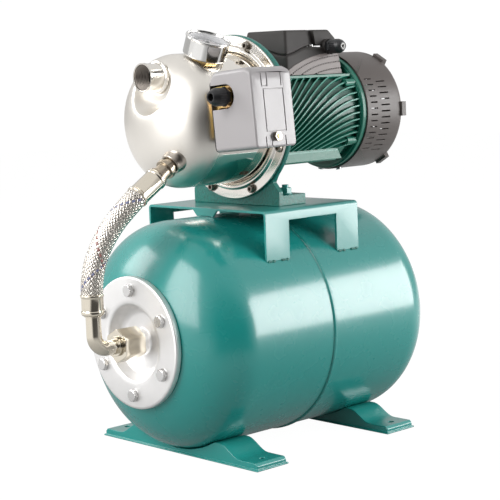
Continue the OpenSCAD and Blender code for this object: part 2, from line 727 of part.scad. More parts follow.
// PUMP INSIDE
impeller_r = 58;
impeller_x = bracket_x - 26;
impeller_w = 13;
diffuser_x = impeller_x - 9;
ejector_x0 = boss_x + casing_wall + 3;
module ejector() color("dimgray") on_shaft() {
  spun([[ejector_x0, 15], [ejector_x0, 21], [ejector_x0 + 16, 21], [ejector_x0 + 22, 16],
    [diffuser_x - 18, 20], [diffuser_x, 26], [diffuser_x, 19], [diffuser_x - 26, 12],
    [ejector_x0 + 26, 9], [ejector_x0 + 12, 15]], 48);
}
module diffuser() color("dimgray") on_shaft() {
  wall_r = impeller_r + 7;
  back_x = bracket_x - plate_t;
  difference() {
    spun([[diffuser_x, 26 - 4], [diffuser_x, wall_r - 3], [diffuser_x + 3, wall_r],
      [back_x, wall_r], [back_x, wall_r - 3], [diffuser_x + 5, wall_r - 3],
      [diffuser_x + 3, wall_r - 6], [diffuser_x + 3, 22]], 64);
    around_x(6) translate([back_x - 6, 0, wall_r]) cube([12 + over, 14, 10], center = true);
  }
}
module impeller() color("goldenrod") on_shaft() {
  eye_r = 19;
  difference() {
    union() {
      tube_x(impeller_x, impeller_x + 2.5, impeller_r, eye_r, 64);
      tube_x(impeller_x - 3, impeller_x + over, eye_r + 2.5, eye_r, 64);
      tube_x(impeller_x + impeller_w - 3, impeller_x + impeller_w, impeller_r, 7, 64);
      tube_x(impeller_x + 3, impeller_x + impeller_w + 4, 12, 7, 64);
      around_x(6) for (i = [0:4]) let (r = eye_r + 2 + i * (impeller_r - eye_r - 8) / 4)
        rotate([i * 13, 0, 0]) translate([impeller_x + 1.5, -1, r - 5])
          rotate([-28, 0, 0]) cube([impeller_w - 3, 2.4, 11.5]);
    }
    bar_x(impeller_x - 4, impeller_x + 2, eye_r);
    bar_x(impeller_x - 4, impeller_x + impeller_w + 6, 7);
  }
}
module impeller_nut() color("silver") on_shaft() {
  translate([impeller_x - 3, 0, 0]) rotate([0, 90, 0]) difference() {
    hexagon(8, 6);
    translate([0, 0, -over]) cylinder(r = 4.9, h = 8);
  }
}
module shaft_seal_rotating() color("dimgray") on_shaft() {
  tube_x(impeller_x + impeller_w + 4, bracket_x - 1.5, 11.5, 7);
}
module shaft_seal_seat() color("ghostwhite") on_shaft() {
  spun([[bracket_x - 1.2, 7.6], [bracket_x - 1.2, 12], [bracket_x, 12], [bracket_x, 15 - seat],
    [bracket_x + 6, 15 - seat], [bracket_x + 6, 7.6]], 64);
}

// BRACKET
module motor_bracket() color("seagreen") {
  hub_r = bearing_r + 6;
  neck = bracket_x + bracket_t;
  difference() {
    union() {
      on_shaft() spun([[bracket_x, 0], [bracket_x, bracket_r - 1], [bracket_x + 1, bracket_r],
        [neck - 2, bracket_r], [neck, bracket_r - 2], [housing_x - 4, housing_r + 6],
        [housing_x, housing_r + 4], [housing_x, housing_bore_r - seat],
        [housing_x + 5, housing_bore_r - seat], [housing_x + 5, housing_bore_r - 5],
        [housing_x - 3, housing_bore_r - 8], [housing_x - 3, hub_r],
        [front_bearing_x + bearing_w, hub_r], [front_bearing_x + bearing_w, 0]], 128);
      plate_x(bracket_x, neck, [[-pad_half, platform_z], [pad_half, platform_z],
        [pad_half, platform_z + 17], [pad_half - 10, platform_z + 28], [bracket_r * 0.72,
        shaft_z - bracket_r * 0.66], [-bracket_r * 0.72, shaft_z - bracket_r * 0.66],
        [-pad_half + 10, platform_z + 28], [-pad_half, platform_z + 17]]);
      translate([bracket_x, -pad_half, platform_z])
        cube([pad_x1 - bracket_x, 2 * pad_half, pad_t]);
      translate([bracket_x + over, -30, platform_z + over]) cube([housing_x - 2 - bracket_x, 60, 44]);
    }
    on_shaft() {
      bar_x(front_bearing_x, front_bearing_x + bearing_w + over, bearing_r);
      bar_x(bracket_x - over, front_bearing_x + over, 12);
      bar_x(bracket_x - over, bracket_x + 6.3, 15);
      tube_x(bracket_x - over, bracket_x + 2.6, casing_r + 3.2, casing_r + 0.4);
      tube_x(bracket_x - over, neck - 3, casing_r - 6, 30);
      around_x(screws_n, 180 / screws_n) translate([0, 0, screw_pcr])
        bar_x(bracket_x - over, bracket_x + 8.6, screw_r, 24);
    }
    for (side = [-1, 1]) translate([pad_bolt_x, side * pad_bolt_y, platform_z - over])
      cylinder(r = pad_bolt_r + bolt_gap, h = pad_t + 2 * over);
  }
}
module bracket_bolts() color("seagreen") {
  washer_t = 1.6;
  flats = pad_bolt_r * 1.625;
  nut = pad_bolt_r * 1.375;
  for (side = [-1, 1]) translate([pad_bolt_x, side * pad_bolt_y, platform_z]) {
    translate([0, 0, pad_t]) cylinder(r = 2 * pad_bolt_r, h = washer_t);
    translate([0, 0, pad_t + washer_t]) hexagon(flats, flats);
    translate([0, 0, -sheet_t - nut - 0.5])
      cylinder(r = pad_bolt_r, h = pad_t + sheet_t + nut + washer_t + flats + 4);
    translate([0, 0, -sheet_t - nut]) hexagon(flats, nut);
  }
}

// MOTOR
// Sweep angle of the fins at distance x in front of the housing's rear end
function swirl(x) = -fin_sweep * pow(x / housing_len, 1.7);
fin_stations = 9;
fin_low = -58;
fin_high = 50 + fin_sweep;
ledge_t = 3;
ledge_half = 53;
fin_foot = fin_tip + 1;
// One side's fins on a thin curved skin whose inner face lies inside the housing wall
module fin_skin() {
  count = floor((fin_high - fin_low) / fin_pitch);
  root = housing_r + 0.4;
  inner = housing_r - 1.2;
  outside = [for (i = [0:count - 1]) let (a = fin_low + i * fin_pitch)
    each [[a, root], [a + 0.5, fin_r], [a + 0.5 + fin_tip, fin_r], [a + fin_foot, root]]];
  inside = [for (i = [count - 1:-1:0]) let (a = fin_low + i * fin_pitch)
    each [[a + fin_foot, inner], [a, inner]]];
  ring = concat(outside, inside);
  n = len(ring);
  points = [for (s = [0:fin_stations]) let (back = housing_len * s / fin_stations)
    for (p = ring) let (a = p[0] + swirl(back))
      [housing_x1 - back, -p[1] * cos(a), p[1] * sin(a)]];
  walls = [for (s = [0:fin_stations - 1]) for (k = [0:n - 1])
    let (a = s * n + k, b = s * n + (k + 1) % n)
    each [[a, a + n, b], [b, a + n, b + n]]];
  // Four-sided faces that close an end: one on each fin, one under it, one to the next fin
  cap = [for (i = [0:count - 1]) let (o = 4 * i, u = 4 * count + 2 * (count - 1 - i))
    each concat([[o, o + 1, o + 2, o + 3], [u + 1, o, o + 3, u]],
      i < count - 1 ? [[u, o + 3, o + 4, u - 1]] : [])];
  far = [for (f = cap) [for (k = reversed(f)) k + fin_stations * n]];
  polyhedron(points = points, faces = concat(cap, walls, far), convexity = 10);
}
module motor_housing() color("seagreen") {
  rail_top = -44;
  difference() {
    union() {
      on_shaft() bar_x(housing_x, housing_x1, housing_r, 128);
      for (m = [0, 1]) mirror([0, m, 0]) on_shaft() intersection() {
        fin_skin();
        plate_x(housing_x + 1, housing_x1 - 1, [[-38, seat_rise - ledge_t / 2],
          [-fin_r - 2, seat_rise - ledge_t / 2], [-fin_r - 2, rail_top], [-44, rail_top]]);
      }
      on_shaft() for (m = [0, 1]) mirror([0, m, 0])
        plate_x(housing_x, housing_x1 - 12, [[-50, rail_top], [-34, -60.5], [-26, -52],
          [-42, rail_top + 6]]);
      on_shaft() each_shield_screw() bar_x(housing_x1 - shield_screw_len - 3, housing_x1, 5, 32);
      on_shaft() plate_x(housing_x, housing_x1, [[-ledge_half, seat_rise], [ledge_half, seat_rise],
        [ledge_half, seat_rise - ledge_t], [ledge_half - 11, seat_rise - 12],
        [11 - ledge_half, seat_rise - 12], [-ledge_half, seat_rise - ledge_t]]);
    }
    on_shaft() bar_x(housing_x - over, housing_x1 + over, housing_bore_r, 128);
    on_shaft() each_shield_screw() bar_x(housing_x1 - shield_screw_len, housing_x1 + over,
      shield_screw_thread_r + running, 24);
  }
}
module stator_core() color("gray") on_shaft() difference() {
  bar_x(core_x, core_x + core_len, housing_bore_r - running, 128);
  bar_x(core_x - over, core_x + core_len + over, stator_bore_r, 96);
  around_x(12) translate([core_x - over, -3, stator_bore_r + 4]) cube([core_len + 2 * over, 6, 12]);
}
module stator_windings() color("sienna") on_shaft() {
  for (x = [core_x - 15, core_x + core_len]) tube_x(x, x + 15, housing_bore_r - 6, stator_bore_r + 3);
  around_x(12) translate([core_x - over, -2.5, stator_bore_r + 4.5]) cube([core_len + 2 * over, 5, 11]);
}
module rotor_core() color("gray") on_shaft() {
  tube_x(core_x, core_x + core_len, stator_bore_r - air_gap, shaft_r + 1);
}
module rotor_shaft() color("silver") on_shaft() difference() {
  shoulder = shaft_r + 1;
  spun([[impeller_x - 7, 0], [impeller_x - 7, 4.9], [impeller_x + 3, 4.9], [impeller_x + 3, 7],
    [bracket_x + 8, 7], [bracket_x + 10, shaft_r - 0.5], [front_bearing_x, shaft_r - 0.5],
    [front_bearing_x, shaft_r], [front_bearing_x + bearing_w, shaft_r],
    [front_bearing_x + bearing_w, shoulder], [rear_bearing_x, shoulder],
    [rear_bearing_x, shaft_r], [rear_bearing_x + bearing_w, shaft_r],
    [rear_bearing_x + bearing_w + 1, 7], [shield_x + 30, 7], [shield_x + 31, 6],
    [shield_x + 31, 0]], 64);
  translate([shield_x + 8, 5.5, -3]) cube([26, 4, 6]);
}

// BEARINGS
module bearing_ring(x, r_in, r_out) difference() {
  tube_x(x, x + bearing_w, r_out, r_in, 64);
  translate([x + bearing_w / 2, 0, 0]) rotate([0, 90, 0]) rotate_extrude($fn = 64)
    translate([race_mid_r, 0]) circle(r = ball_r + 0.12, $fn = 32);
}
module each_bearing() for (x = [front_bearing_x, rear_bearing_x]) translate([x, 0, 0]) children();
module bearing_outer_rings() color("silver") on_shaft() each_bearing()
  bearing_ring(0, race_mid_r + 1.9, bearing_r - 0.01);
module bearing_inner_rings() color("silver") on_shaft() each_bearing()
  bearing_ring(0, shaft_r, race_mid_r - 1.9);
module bearing_balls() color("gainsboro") on_shaft() each_bearing()
  translate([bearing_w / 2, 0, 0]) {
    around_x(balls_n) translate([0, 0, race_mid_r]) sphere(r = ball_r, $fn = 32);
    tube_x(-1.2, 1.2, race_mid_r + 0.9, race_mid_r - 0.9, 48);
  }
module wave_spring() color("steelblue") on_shaft()
  tube_x(rear_bearing_x + bearing_w + 0.3, rear_bearing_x + bearing_w + 1.8, bearing_r - 1,
    bearing_r - 4);

// FAN END
shield_screw_r = 66;
shield_screw_thread_r = 2.5;
shield_screw_len = 13;
module each_shield_screw() for (a = [57.5, 122.5, 237.5, 302.5]) rotate([a, 0, 0])
  translate([0, 0, shield_screw_r]) children();
collar_len = 8;
cover_lap = 1.5;
module rear_shield() color("seagreen") on_shaft() {
  hub_r = bearing_r + 5;
  collar_r = cover_r - cover_wall - seat;
  collar_in = collar_r - 4;
  head_room = 4.6;
  difference() {
    spun([[housing_x1, housing_bore_r - 6], [housing_x1 - 6, housing_bore_r - 6],
      [housing_x1 - 6, housing_bore_r - seat], [housing_x1, housing_bore_r - seat],
      [housing_x1, shield_r - 1], [housing_x1 + 1, shield_r], [shield_x - cover_lap - seat, shield_r],
      [shield_x - cover_lap - seat, collar_r], [shield_x + collar_len, collar_r],
      [shield_x + collar_len, collar_in],
      [shield_x, collar_in], [shield_x, housing_bore_r], [shield_x - 4, housing_bore_r - 8],
      [shield_x - 4, 9], [housing_x1 + 0.2, 9], [housing_x1 + 0.2, bearing_r],
      [rear_bearing_x, bearing_r], [rear_bearing_x, hub_r], [housing_x1, hub_r]], 128);
    each_shield_screw() {
      bar_x(housing_x1 - over, shield_x + over, shield_screw_thread_r + 0.2, 24);
      bar_x(shield_x, shield_x + collar_len + over, head_room, 32);
    }
    each_cover_screw() translate([0, 0, collar_in - over])
      cylinder(r = cover_screw_r + running, h = 6, $fn = 24);
  }
}
module shield_screws() color("silver") on_shaft() each_shield_screw() {
  bar_x(shield_x, shield_x + 3, 4, 32);
  bar_x(housing_x1 - shield_screw_len + over, shield_x + over, shield_screw_thread_r, 24);
}
fan_x = shield_x + 7;
fan_w = 26;
module cooling_fan() color("dimgray") on_shaft() {
  fan_r = cover_r - cover_wall - 9;
  difference() {
    union() {
      tube_x(fan_x, fan_x + 20, 13, 7);
      tube_x(fan_x, fan_x + 2.5, fan_r - 6, 7);
      around_x(blades_n) translate([fan_x + over, -1.2, 12]) cube([fan_w, 2.4, fan_r - 12]);
    }
    bar_x(fan_x - over, fan_x + fan_w + 2, 7);
  }
}
fan_end_x = cover_x1 - 2;
// Rounded corner of the fan cover, [x, r], for its outer or inner face
function cover_line(inset) = [for (i = [0:6]) let (a = 90 * i / 6)
  [fan_end_x - cover_corner + (cover_corner - inset) * sin(a),
    cover_r - cover_corner + (cover_corner - inset) * cos(a)]];
slot_pitch = 6;
slot_w = 1.6;
slot_rows = [[5, 12], [24, 16]];
lug_w = 18;
lug_in = 6.3;
module fan_cover() color("dimgray") on_shaft() {
  inner_r = cover_r - cover_wall;
  first = 94 - slot_pitch * (slots_n - 1) / 2;
  difference() {
    union() {
      spun(concat([[shield_x - cover_lap, 0], [shield_x - cover_lap, cover_r]], cover_line(0),
        [[fan_end_x, 0]]), 128);
      spun([[fan_end_x - over, 0], [fan_end_x - over, 13], [fan_end_x + 1, 13], [cover_x1, 10],
        [cover_x1, 0]], 48);
      around_x(lugs_n, 30) translate([fan_end_x - lug_in, -lug_w / 2, cover_r - lug_in])
        cube([lug_in + 1.5, lug_w, lug_in + 2.5]);
    }
    spun(concat([[shield_x - cover_lap - over, 0], [shield_x - cover_lap - over, inner_r]],
      cover_line(cover_wall), [[fan_end_x - cover_wall, 0]]), 128);
    for (m = [0, 1], row = [0, 1], i = [0:slots_n - 1]) mirror([0, m, 0])
      rotate([first + slot_pitch * (i + row / 2), 0, 0])
        translate([shield_x + slot_rows[row][0], -slot_w / 2, inner_r - over])
          cube([slot_rows[row][1], slot_w, cover_wall + 2 * over]);
    for (ring = [0:2]) around_x(12 + 4 * ring) translate([fan_end_x - 6, -1.6, 19 + ring * 10])
      cube([8, 3.2, 7]);
    each_cover_screw() translate([0, 0, inner_r - 2]) cylinder(r = cover_screw_r + 0.2, h = 8, $fn = 24);
  }
}
cover_screw_r = 2;
cover_screw_x = shield_x + 3.8;
module each_cover_screw() for (a = [12, 168, 192, 348]) rotate([a, 0, 0])
  translate([cover_screw_x, 0, 0]) children();
module cover_screw(len) {
  cylinder(r = 3.6, h = 2.2, $fn = 32);
  translate([0, 0, -len]) cylinder(r = cover_screw_r, h = len + 0.5, $fn = 24);
}
module cover_screws() color("silver") {
  on_shaft() each_cover_screw() translate([0, 0, cover_r]) cover_screw(5);
  for (side = [-1, 1]) translate([notch_x, side * notch_y, seat_z + notch_h]) cover_screw(9);
}

// TERMINAL BOX
box_full = box_h + lid_h;
// Half of the width of the box at height h above its seat
function box_half_at(h) = box_half - box_draft * h / box_full;
// Four-sided block tapering towards the top of the lid
module box_block(h0, h1, inset) hull() for (h = [h0, h1]) let (k = box_draft * h / box_full + inset)
  for (x = [box_x0 + k + 4, box_x0 + box_len - inset - 4 - rear_slope * h / box_full])
    for (side = [-1, 1]) translate([x, side * (box_half - k - 4), h]) cylinder(r = 4, h = 0.01, $fn = 32);
notch_x = box_x0 + 54;
notch_w = 12;
notch_h = box_full - 20;
notch_y = box_half_at(notch_h) - 4;
gland_x = box_x0 + box_len - 18;
gland_h = 34;
gland_z = seat_z + gland_h;
gland_face = box_half_at(gland_h) + 4;
module terminal_box() color("dimgray") difference() {
  translate([0, 0, seat_z]) box_block(0, box_h - running, 0);
  difference() {
    translate([0, 0, seat_z + box_wall]) box_block(0, box_h, box_wall);
    on_shaft() bar_x(housing_x, housing_x1, housing_r + seat + box_wall, 128);
  }
  on_shaft() bar_x(housing_x, housing_x1, housing_r + seat, 128);
  translate([box_x0 + box_len / 2, 0, seat_z]) cylinder(r = 9, h = box_h);
}
// Lid with one screw in a recess of each side, and a boss behind the gland
module terminal_lid() color("dimgray") difference() {
  translate([0, 0, seat_z]) difference() {
    union() {
      difference() {
        box_block(box_h, box_full, 0);
        translate([0, 0, -box_wall]) box_block(box_h, box_full, box_wall);
      }
      for (side = [-1, 1]) translate([notch_x - notch_w / 2 - box_wall, side * (notch_y - 2) - 6, box_h])
        cube([notch_w + 2 * box_wall, 12, box_full - box_h - 1]);
      translate([gland_x, 4 - box_half_at(gland_h), gland_h]) rotate([90, 0, 0])
        cylinder(r = gland_r + 0.5, h = 8, $fn = 48);
    }
    for (side = [-1, 1]) translate([notch_x, side * (notch_y + 6), notch_h]) {
      translate([-notch_w / 2, -10, 0]) cube([notch_w, 20, lid_h]);
      translate([0, -side * 6, -lid_h]) cylinder(r = cover_screw_r + 0.2, h = 2 * lid_h, $fn = 24);
    }
  }
  translate([gland_x, 0, gland_z]) rotate([90, 0, 0])
    cylinder(r = gland_thread_r + seat, h = box_half + 10, $fn = 48);
}
// Cable gland along +Z: threaded body, hexagon, domed nut and a cable bore
gland_thread_r = 6;
module gland(neck) difference() {
  union() {
    translate([0, 0, -neck]) cylinder(r = gland_thread_r, h = neck + over, $fn = 48);
    hexagon(gland_r - 0.6, 5);
    rotate_extrude($fn = 48) polygon([[0, 4], [gland_r, 4], [gland_r, 16], [gland_r - 1.2, 20],
      [gland_r - 2.6, 23], [0, 23]]);
  }
  translate([0, 0, -neck - over]) cylinder(r = gland_bore_r, h = neck + 26, $fn = 48);
}
module terminal_gland() color("black")
  translate([gland_x, -gland_face - running, gland_z]) rotate([90, 0, 0]) gland(9);
capacitor_r = 14;
module capacitor() color("whitesmoke")
  translate([box_x0 + 20, 0, shaft_z + housing_r + box_wall + 2 * seat + capacitor_r]) rotate([0, 90, 0])
    cylinder(r = capacitor_r, h = box_len / 2);

// PRESSURE SWITCH
// Local frame: +Y points out of the casing, +Z up the switch
module switch_frame() translate([switch_x, 0, shaft_z]) rotate([-switch_tilt, 0, 0])
  rotate([0, 0, 180]) children();
lever_y = switch_front_y + 16;
stud_r = 2.5;
stud_z = -30;
pivot_post_r = 3.6;
diaphragm_t = 9;
gland_notch_r = 15.5;
wing_x = 27;
switch_gland_y = switch_front_y + 16;
switch_gland_z = 19;
module rounded_slab(w, d, h, r) hull() for (x = [-w / 2 + r, w / 2 - r]) for (y = [r, d - r])
  translate([x, y, 0]) cylinder(r = r, h = h, $fn = 32);
module along_y(y0, y1, r, facets = 32) translate([0, y0, 0]) rotate([-90, 0, 0])
  cylinder(r = r, h = y1 - y0, $fn = facets);
module switch_base() color("goldenrod") switch_frame() {
  tall = switch_w;
  low = over - tall / 2 - switch_drop;
  sheet = 2;
  socket_r = 6.5;
  wing_r = 12;
  difference() {
    union() {
      translate([-wing_x, switch_base_y, low]) cube([2 * wing_x, sheet + 0.5, tall]);
      for (x = [-wing_x, wing_x - sheet]) {
        translate([x, switch_base_y, low]) cube([sheet, base_d, tall]);
        translate([x, switch_base_y, switch_gland_z - wing_r])
          cube([sheet, switch_gland_y - switch_base_y, 2 * wing_r]);
        translate([x, switch_gland_y, switch_gland_z]) rotate([0, 90, 0]) cylinder(r = wing_r, h = sheet);
      }
      for (z = [low, low + tall - sheet]) translate([-wing_x, switch_base_y, z])
        cube([2 * wing_x, base_d, sheet]);
      along_y(0, switch_base_y + over, socket_r);
      along_y(switch_base_y, switch_base_y + diaphragm_t, 20, 64);
      translate([0, 0, stud_z]) along_y(switch_base_y, switch_front_y + switch_d + 5, stud_r, 24);
      translate([0, 0, stud_z]) along_y(switch_base_y, lever_y - seat, pivot_post_r);
      translate([0, 0, 24]) along_y(switch_base_y, switch_front_y + switch_d - 14, stud_r, 24);
    }
    along_y(0, switch_front_y, 3);
    rotate([90, 0, 0]) translate([0, 0, -casing_r + 6]) cylinder(r = 30, h = 2 * casing_r);
    for (x = [-wing_x - over, wing_x - sheet - over]) translate([x, switch_gland_y, switch_gland_z])
      rotate([0, 90, 0]) cylinder(r = gland_thread_r + seat, h = sheet + 2 * over, $fn = 48);
  }
}
groove_w = 1.4;
groove_depth = 0.9;
// Grooves in the cover's face: [x, lower end, upper end]
face_grooves = [[15.5, 26, 46], [7, 26, 46], [-14.4, 26, 46], [13.4, -25, 22], [-16.3, -23, 22],
  [15.5, -44, -29], [7, -44, -29], [-14.4, -44, -29]];
// Rounded block of the cover, with wider corners along its top
module cover_block(y0, y1, inset) {
  r = 10 - inset;
  half = switch_w / 2 - inset;
  top = switch_h - switch_low - inset;
  corner = 5 - inset;
  intersection() {
    plate_x(-half, half, concat([[y0, inset - switch_low], [y1, inset - switch_low]],
      [for (i = [0:6]) [y1 - r + r * cos(15 * i), top - r + r * sin(15 * i)]],
      [for (i = [0:6]) [y0 + r - r * sin(15 * i), top - r + r * cos(15 * i)]]));
    translate([0, y0 - 1, 0]) rotate([-90, 0, 0]) linear_extrude(height = y1 - y0 + 2) hull()
      for (x = [-1, 1], z = [inset + corner - switch_low, top - corner])
        translate([x * (half - corner), -z]) circle(r = corner, $fn = 32);
  }
}
module switch_cover() color("lightgray") switch_frame() {
  lip_y = switch_base_y + 4.5;
  end_y = switch_front_y + switch_d;
  difference() {
    cover_block(lip_y, end_y, 0);
    cover_block(lip_y - 12, end_y - box_wall, box_wall);
    for (side = [-1, 1]) hull() for (y = [lip_y - 12, switch_gland_y])
      translate([side * switch_w / 2, y, switch_gland_z]) rotate([0, 90, 0])
        cylinder(r = gland_notch_r, h = 10, center = true);
    translate([0, 0, stud_z]) along_y(end_y - 6, end_y + 4, stud_r + bolt_gap, 24);
    for (g = face_grooves) translate([g[0] - groove_w / 2, end_y - groove_depth, g[1]])
      cube([groove_w, 10, g[2] - g[1]]);
  }
}
module switch_cover_nut() color("gainsboro") switch_frame()
  translate([0, switch_front_y + switch_d, stud_z]) rotate([-90, 0, 0]) difference() {
    hexagon(5, 4);
    translate([0, 0, -over]) cylinder(r = stud_r + running, h = 4 + 2 * over, $fn = 24);
  }
module switch_glands() color("black") switch_frame() for (side = [-1, 1])
  translate([side * wing_x, switch_gland_y, switch_gland_z]) rotate([0, side * 90, 0]) gland(9);
module switch_plunger() color("silver") switch_frame() {
  start = switch_base_y + diaphragm_t + seat;
  translate([0, start, 0]) rotate([-90, 0, 0]) {
    cylinder(r = 2.4, h = lever_y - seat - start);
    cylinder(r = 7, h = 2);
  }
}
lever_half = 11;
lever_t = 2;
knuckle_r = 2;
module switch_lever() color("goldenrod") switch_frame() difference() {
  union() {
    translate([-lever_half, lever_y, stud_z - 6]) cube([2 * lever_half, lever_t, 46]);
    for (x = [-lever_half, lever_half - 6]) translate([x, lever_y + lever_t / 2, stud_z])
      rotate([0, 90, 0]) cylinder(r = knuckle_r, h = 6, $fn = 32);
  }
  translate([0, 0, stud_z]) along_y(lever_y - over, lever_y + 3, stud_r + 0.4, 24);
}

// GAUGE
module gauge_frame() translate([gauge_x, 0, shaft_z]) rotate([gauge_tilt, 0, 0])
  translate([0, 0, casing_r + 2]) children();
glass_t = 1.6;
module gauge_case() color("silver") gauge_frame() {
  difference() {
    union() {
      rotate_extrude($fn = 96) polygon([[0, 0], [gauge_r - 3, 0], [gauge_r - 1.5, 1.5],
        [gauge_r - 1.5, gauge_h - 6], [gauge_r, gauge_h - 5], [gauge_r, gauge_h - 0.8],
        [gauge_r - 0.8, gauge_h], [gauge_r - 3, gauge_h], [gauge_r - 3, gauge_h - 10], [0, gauge_h - 10]]);
      translate([0, 0, -7]) cylinder(r = 5, h = 8, $fn = 32);
      translate([0, 0, -1.9]) hexagon(7, 2.5);
    }
    translate([0, 0, gauge_h - 14]) cylinder(r = 1.1, h = 6, $fn = 24);
  }
}
module gauge_dial() color("white") gauge_frame() translate([0, 0, gauge_h - 10]) difference() {
  cylinder(r = gauge_r - 3 - seat, h = 1);
  translate([0, 0, -over]) cylinder(r = 1.3, h = 3, $fn = 24);
}
module gauge_needle() color("black") gauge_frame() translate([0, 0, gauge_h - 7.4]) rotate([0, 0, 225]) {
  cylinder(r = 2.6, h = 1.6, $fn = 32);
  translate([0, 0, -5.4]) cylinder(r = 0.8, h = 6, $fn = 24);
  linear_extrude(height = 0.8) polygon([[-7, -1.2], [gauge_r - 8, -0.4], [gauge_r - 8, 0.4], [-7, 1.2]]);
}
module gauge_glass() color("lightcyan") gauge_frame() translate([0, 0, gauge_h - 3])
  cylinder(r = gauge_r - 3 - 0.1, h = glass_t);

tank_shell_front();
tank_shell_rear();
tank_bladder();
inlet_flange();
flange_bolts();
foot_front();
foot_rear();
pump_platform();
air_valve();
air_valve_core();
air_valve_cap();
union_nut();
hose_elbow();
lower_ferrule();
braided_hose();
upper_ferrule();
hose_nipple();
pump_casing();
clamp_ring();
casing_screws();
casing_seal();
seal_plate();
suction_stub();
discharge_stub();
ejector();
diffuser();
impeller();
impeller_nut();
shaft_seal_rotating();
shaft_seal_seat();
motor_bracket();
bracket_bolts();
motor_housing();
stator_core();
stator_windings();
rotor_core();
rotor_shaft();
bearing_outer_rings();
bearing_inner_rings();
bearing_balls();
wave_spring();
rear_shield();
shield_screws();
cooling_fan();
fan_cover();
cover_screws();
terminal_box();
terminal_lid();
terminal_gland();
capacitor();
switch_base();
switch_cover();
switch_cover_nut();
switch_glands();
switch_plunger();
switch_lever();
gauge_case();
gauge_dial();
gauge_needle();
gauge_glass();
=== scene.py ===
"""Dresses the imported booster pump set: finishes, smooth shells, the braided hose and the small fittings."""

import json
import logging
import math
from contextlib import contextmanager
from dataclasses import dataclass
from enum import Enum
from typing import Callable, Iterator, Sequence, Union

import bmesh
import bpy
import numpy as np
from mathutils import Matrix, Vector

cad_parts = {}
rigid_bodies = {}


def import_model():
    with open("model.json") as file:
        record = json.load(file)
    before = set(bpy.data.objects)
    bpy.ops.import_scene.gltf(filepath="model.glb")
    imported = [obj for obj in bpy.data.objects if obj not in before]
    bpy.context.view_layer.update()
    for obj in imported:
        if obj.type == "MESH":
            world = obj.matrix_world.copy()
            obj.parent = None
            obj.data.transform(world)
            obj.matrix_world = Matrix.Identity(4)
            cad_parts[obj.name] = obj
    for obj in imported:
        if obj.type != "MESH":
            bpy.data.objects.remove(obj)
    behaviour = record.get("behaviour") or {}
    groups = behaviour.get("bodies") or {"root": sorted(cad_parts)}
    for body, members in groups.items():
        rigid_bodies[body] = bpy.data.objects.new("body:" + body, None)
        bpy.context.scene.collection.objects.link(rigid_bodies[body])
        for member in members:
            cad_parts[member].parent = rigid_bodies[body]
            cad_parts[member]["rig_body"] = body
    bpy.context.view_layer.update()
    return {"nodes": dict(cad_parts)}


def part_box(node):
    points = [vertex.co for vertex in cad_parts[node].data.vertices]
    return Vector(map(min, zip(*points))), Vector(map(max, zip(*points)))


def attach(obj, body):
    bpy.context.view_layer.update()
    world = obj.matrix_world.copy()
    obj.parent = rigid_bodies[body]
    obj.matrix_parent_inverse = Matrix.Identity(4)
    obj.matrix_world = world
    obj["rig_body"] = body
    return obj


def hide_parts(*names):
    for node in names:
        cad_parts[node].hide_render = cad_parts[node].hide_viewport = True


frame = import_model()

LOG = logging.getLogger("pump_set")
MM = 0.001  # one millimetre in metres
MERGE = 2e-6  # distance at which points merge, in metres
POLE = 1e-4  # smallest radius of a turned ring, in millimetres
FLAT = 0.6  # bend under which two faces become one, in degrees
SHAFT_Z = 391.0  # height of the motor's shaft above the floor, in millimetres
TANK_Z = 141.3  # height of the tank's axis
ROOT = "pump_set"
Mesh, Item, Tree = bpy.types.Mesh, bpy.types.Object, bpy.types.NodeTree
Node, Socket = bpy.types.Node, bpy.types.NodeSocket
Pair = tuple[float, float]
Point = tuple[float, float, float]
Colour = tuple[float, float, float]
Profile = Sequence[Pair]


# SHADER AND GEOMETRY TREES


class Num:
    """A number that varies over a surface, with the arithmetic that the finishes use."""

    def __init__(self, graph: "Graph", socket: Socket) -> None:
        """Keeps the socket that carries the number."""
        self.graph = graph
        self.socket = socket

    def math(self, operation: str, *others: "Amount") -> "Num":
        """Adds one Math node.

        Args:
            operation: The node's operation, such as MULTIPLY.
            others: The numbers after this one.

        Returns:
            The result.
        """
        return self.graph.number("ShaderNodeMath", dict(enumerate((self, *others))), operation=operation)

    def __add__(self, other: "Amount") -> "Num":
        """Sum."""
        return self.math("ADD", other)

    def __sub__(self, other: "Amount") -> "Num":
        """Difference."""
        return self.math("SUBTRACT", other)

    def __rsub__(self, other: float) -> "Num":
        """Difference from a plain number."""
        return self.math("MULTIPLY", -1.0).math("ADD", other)

    def __mul__(self, other: "Amount") -> "Num":
        """Product."""
        return self.math("MULTIPLY", other)

    __radd__ = __add__
    __rmul__ = __mul__

    def power(self, exponent: float) -> "Num":
        """Power."""
        return self.math("POWER", exponent)

    def between(self, low: float, high: float) -> "Num":
        """0 below low, 1 above high and a straight ramp between."""
        return self.graph.number("ShaderNodeMapRange", {0: self, 1: low, 2: high}, clamp=True)


Amount = Union[float, Num]
Inputs = dict[Union[int, str], object]


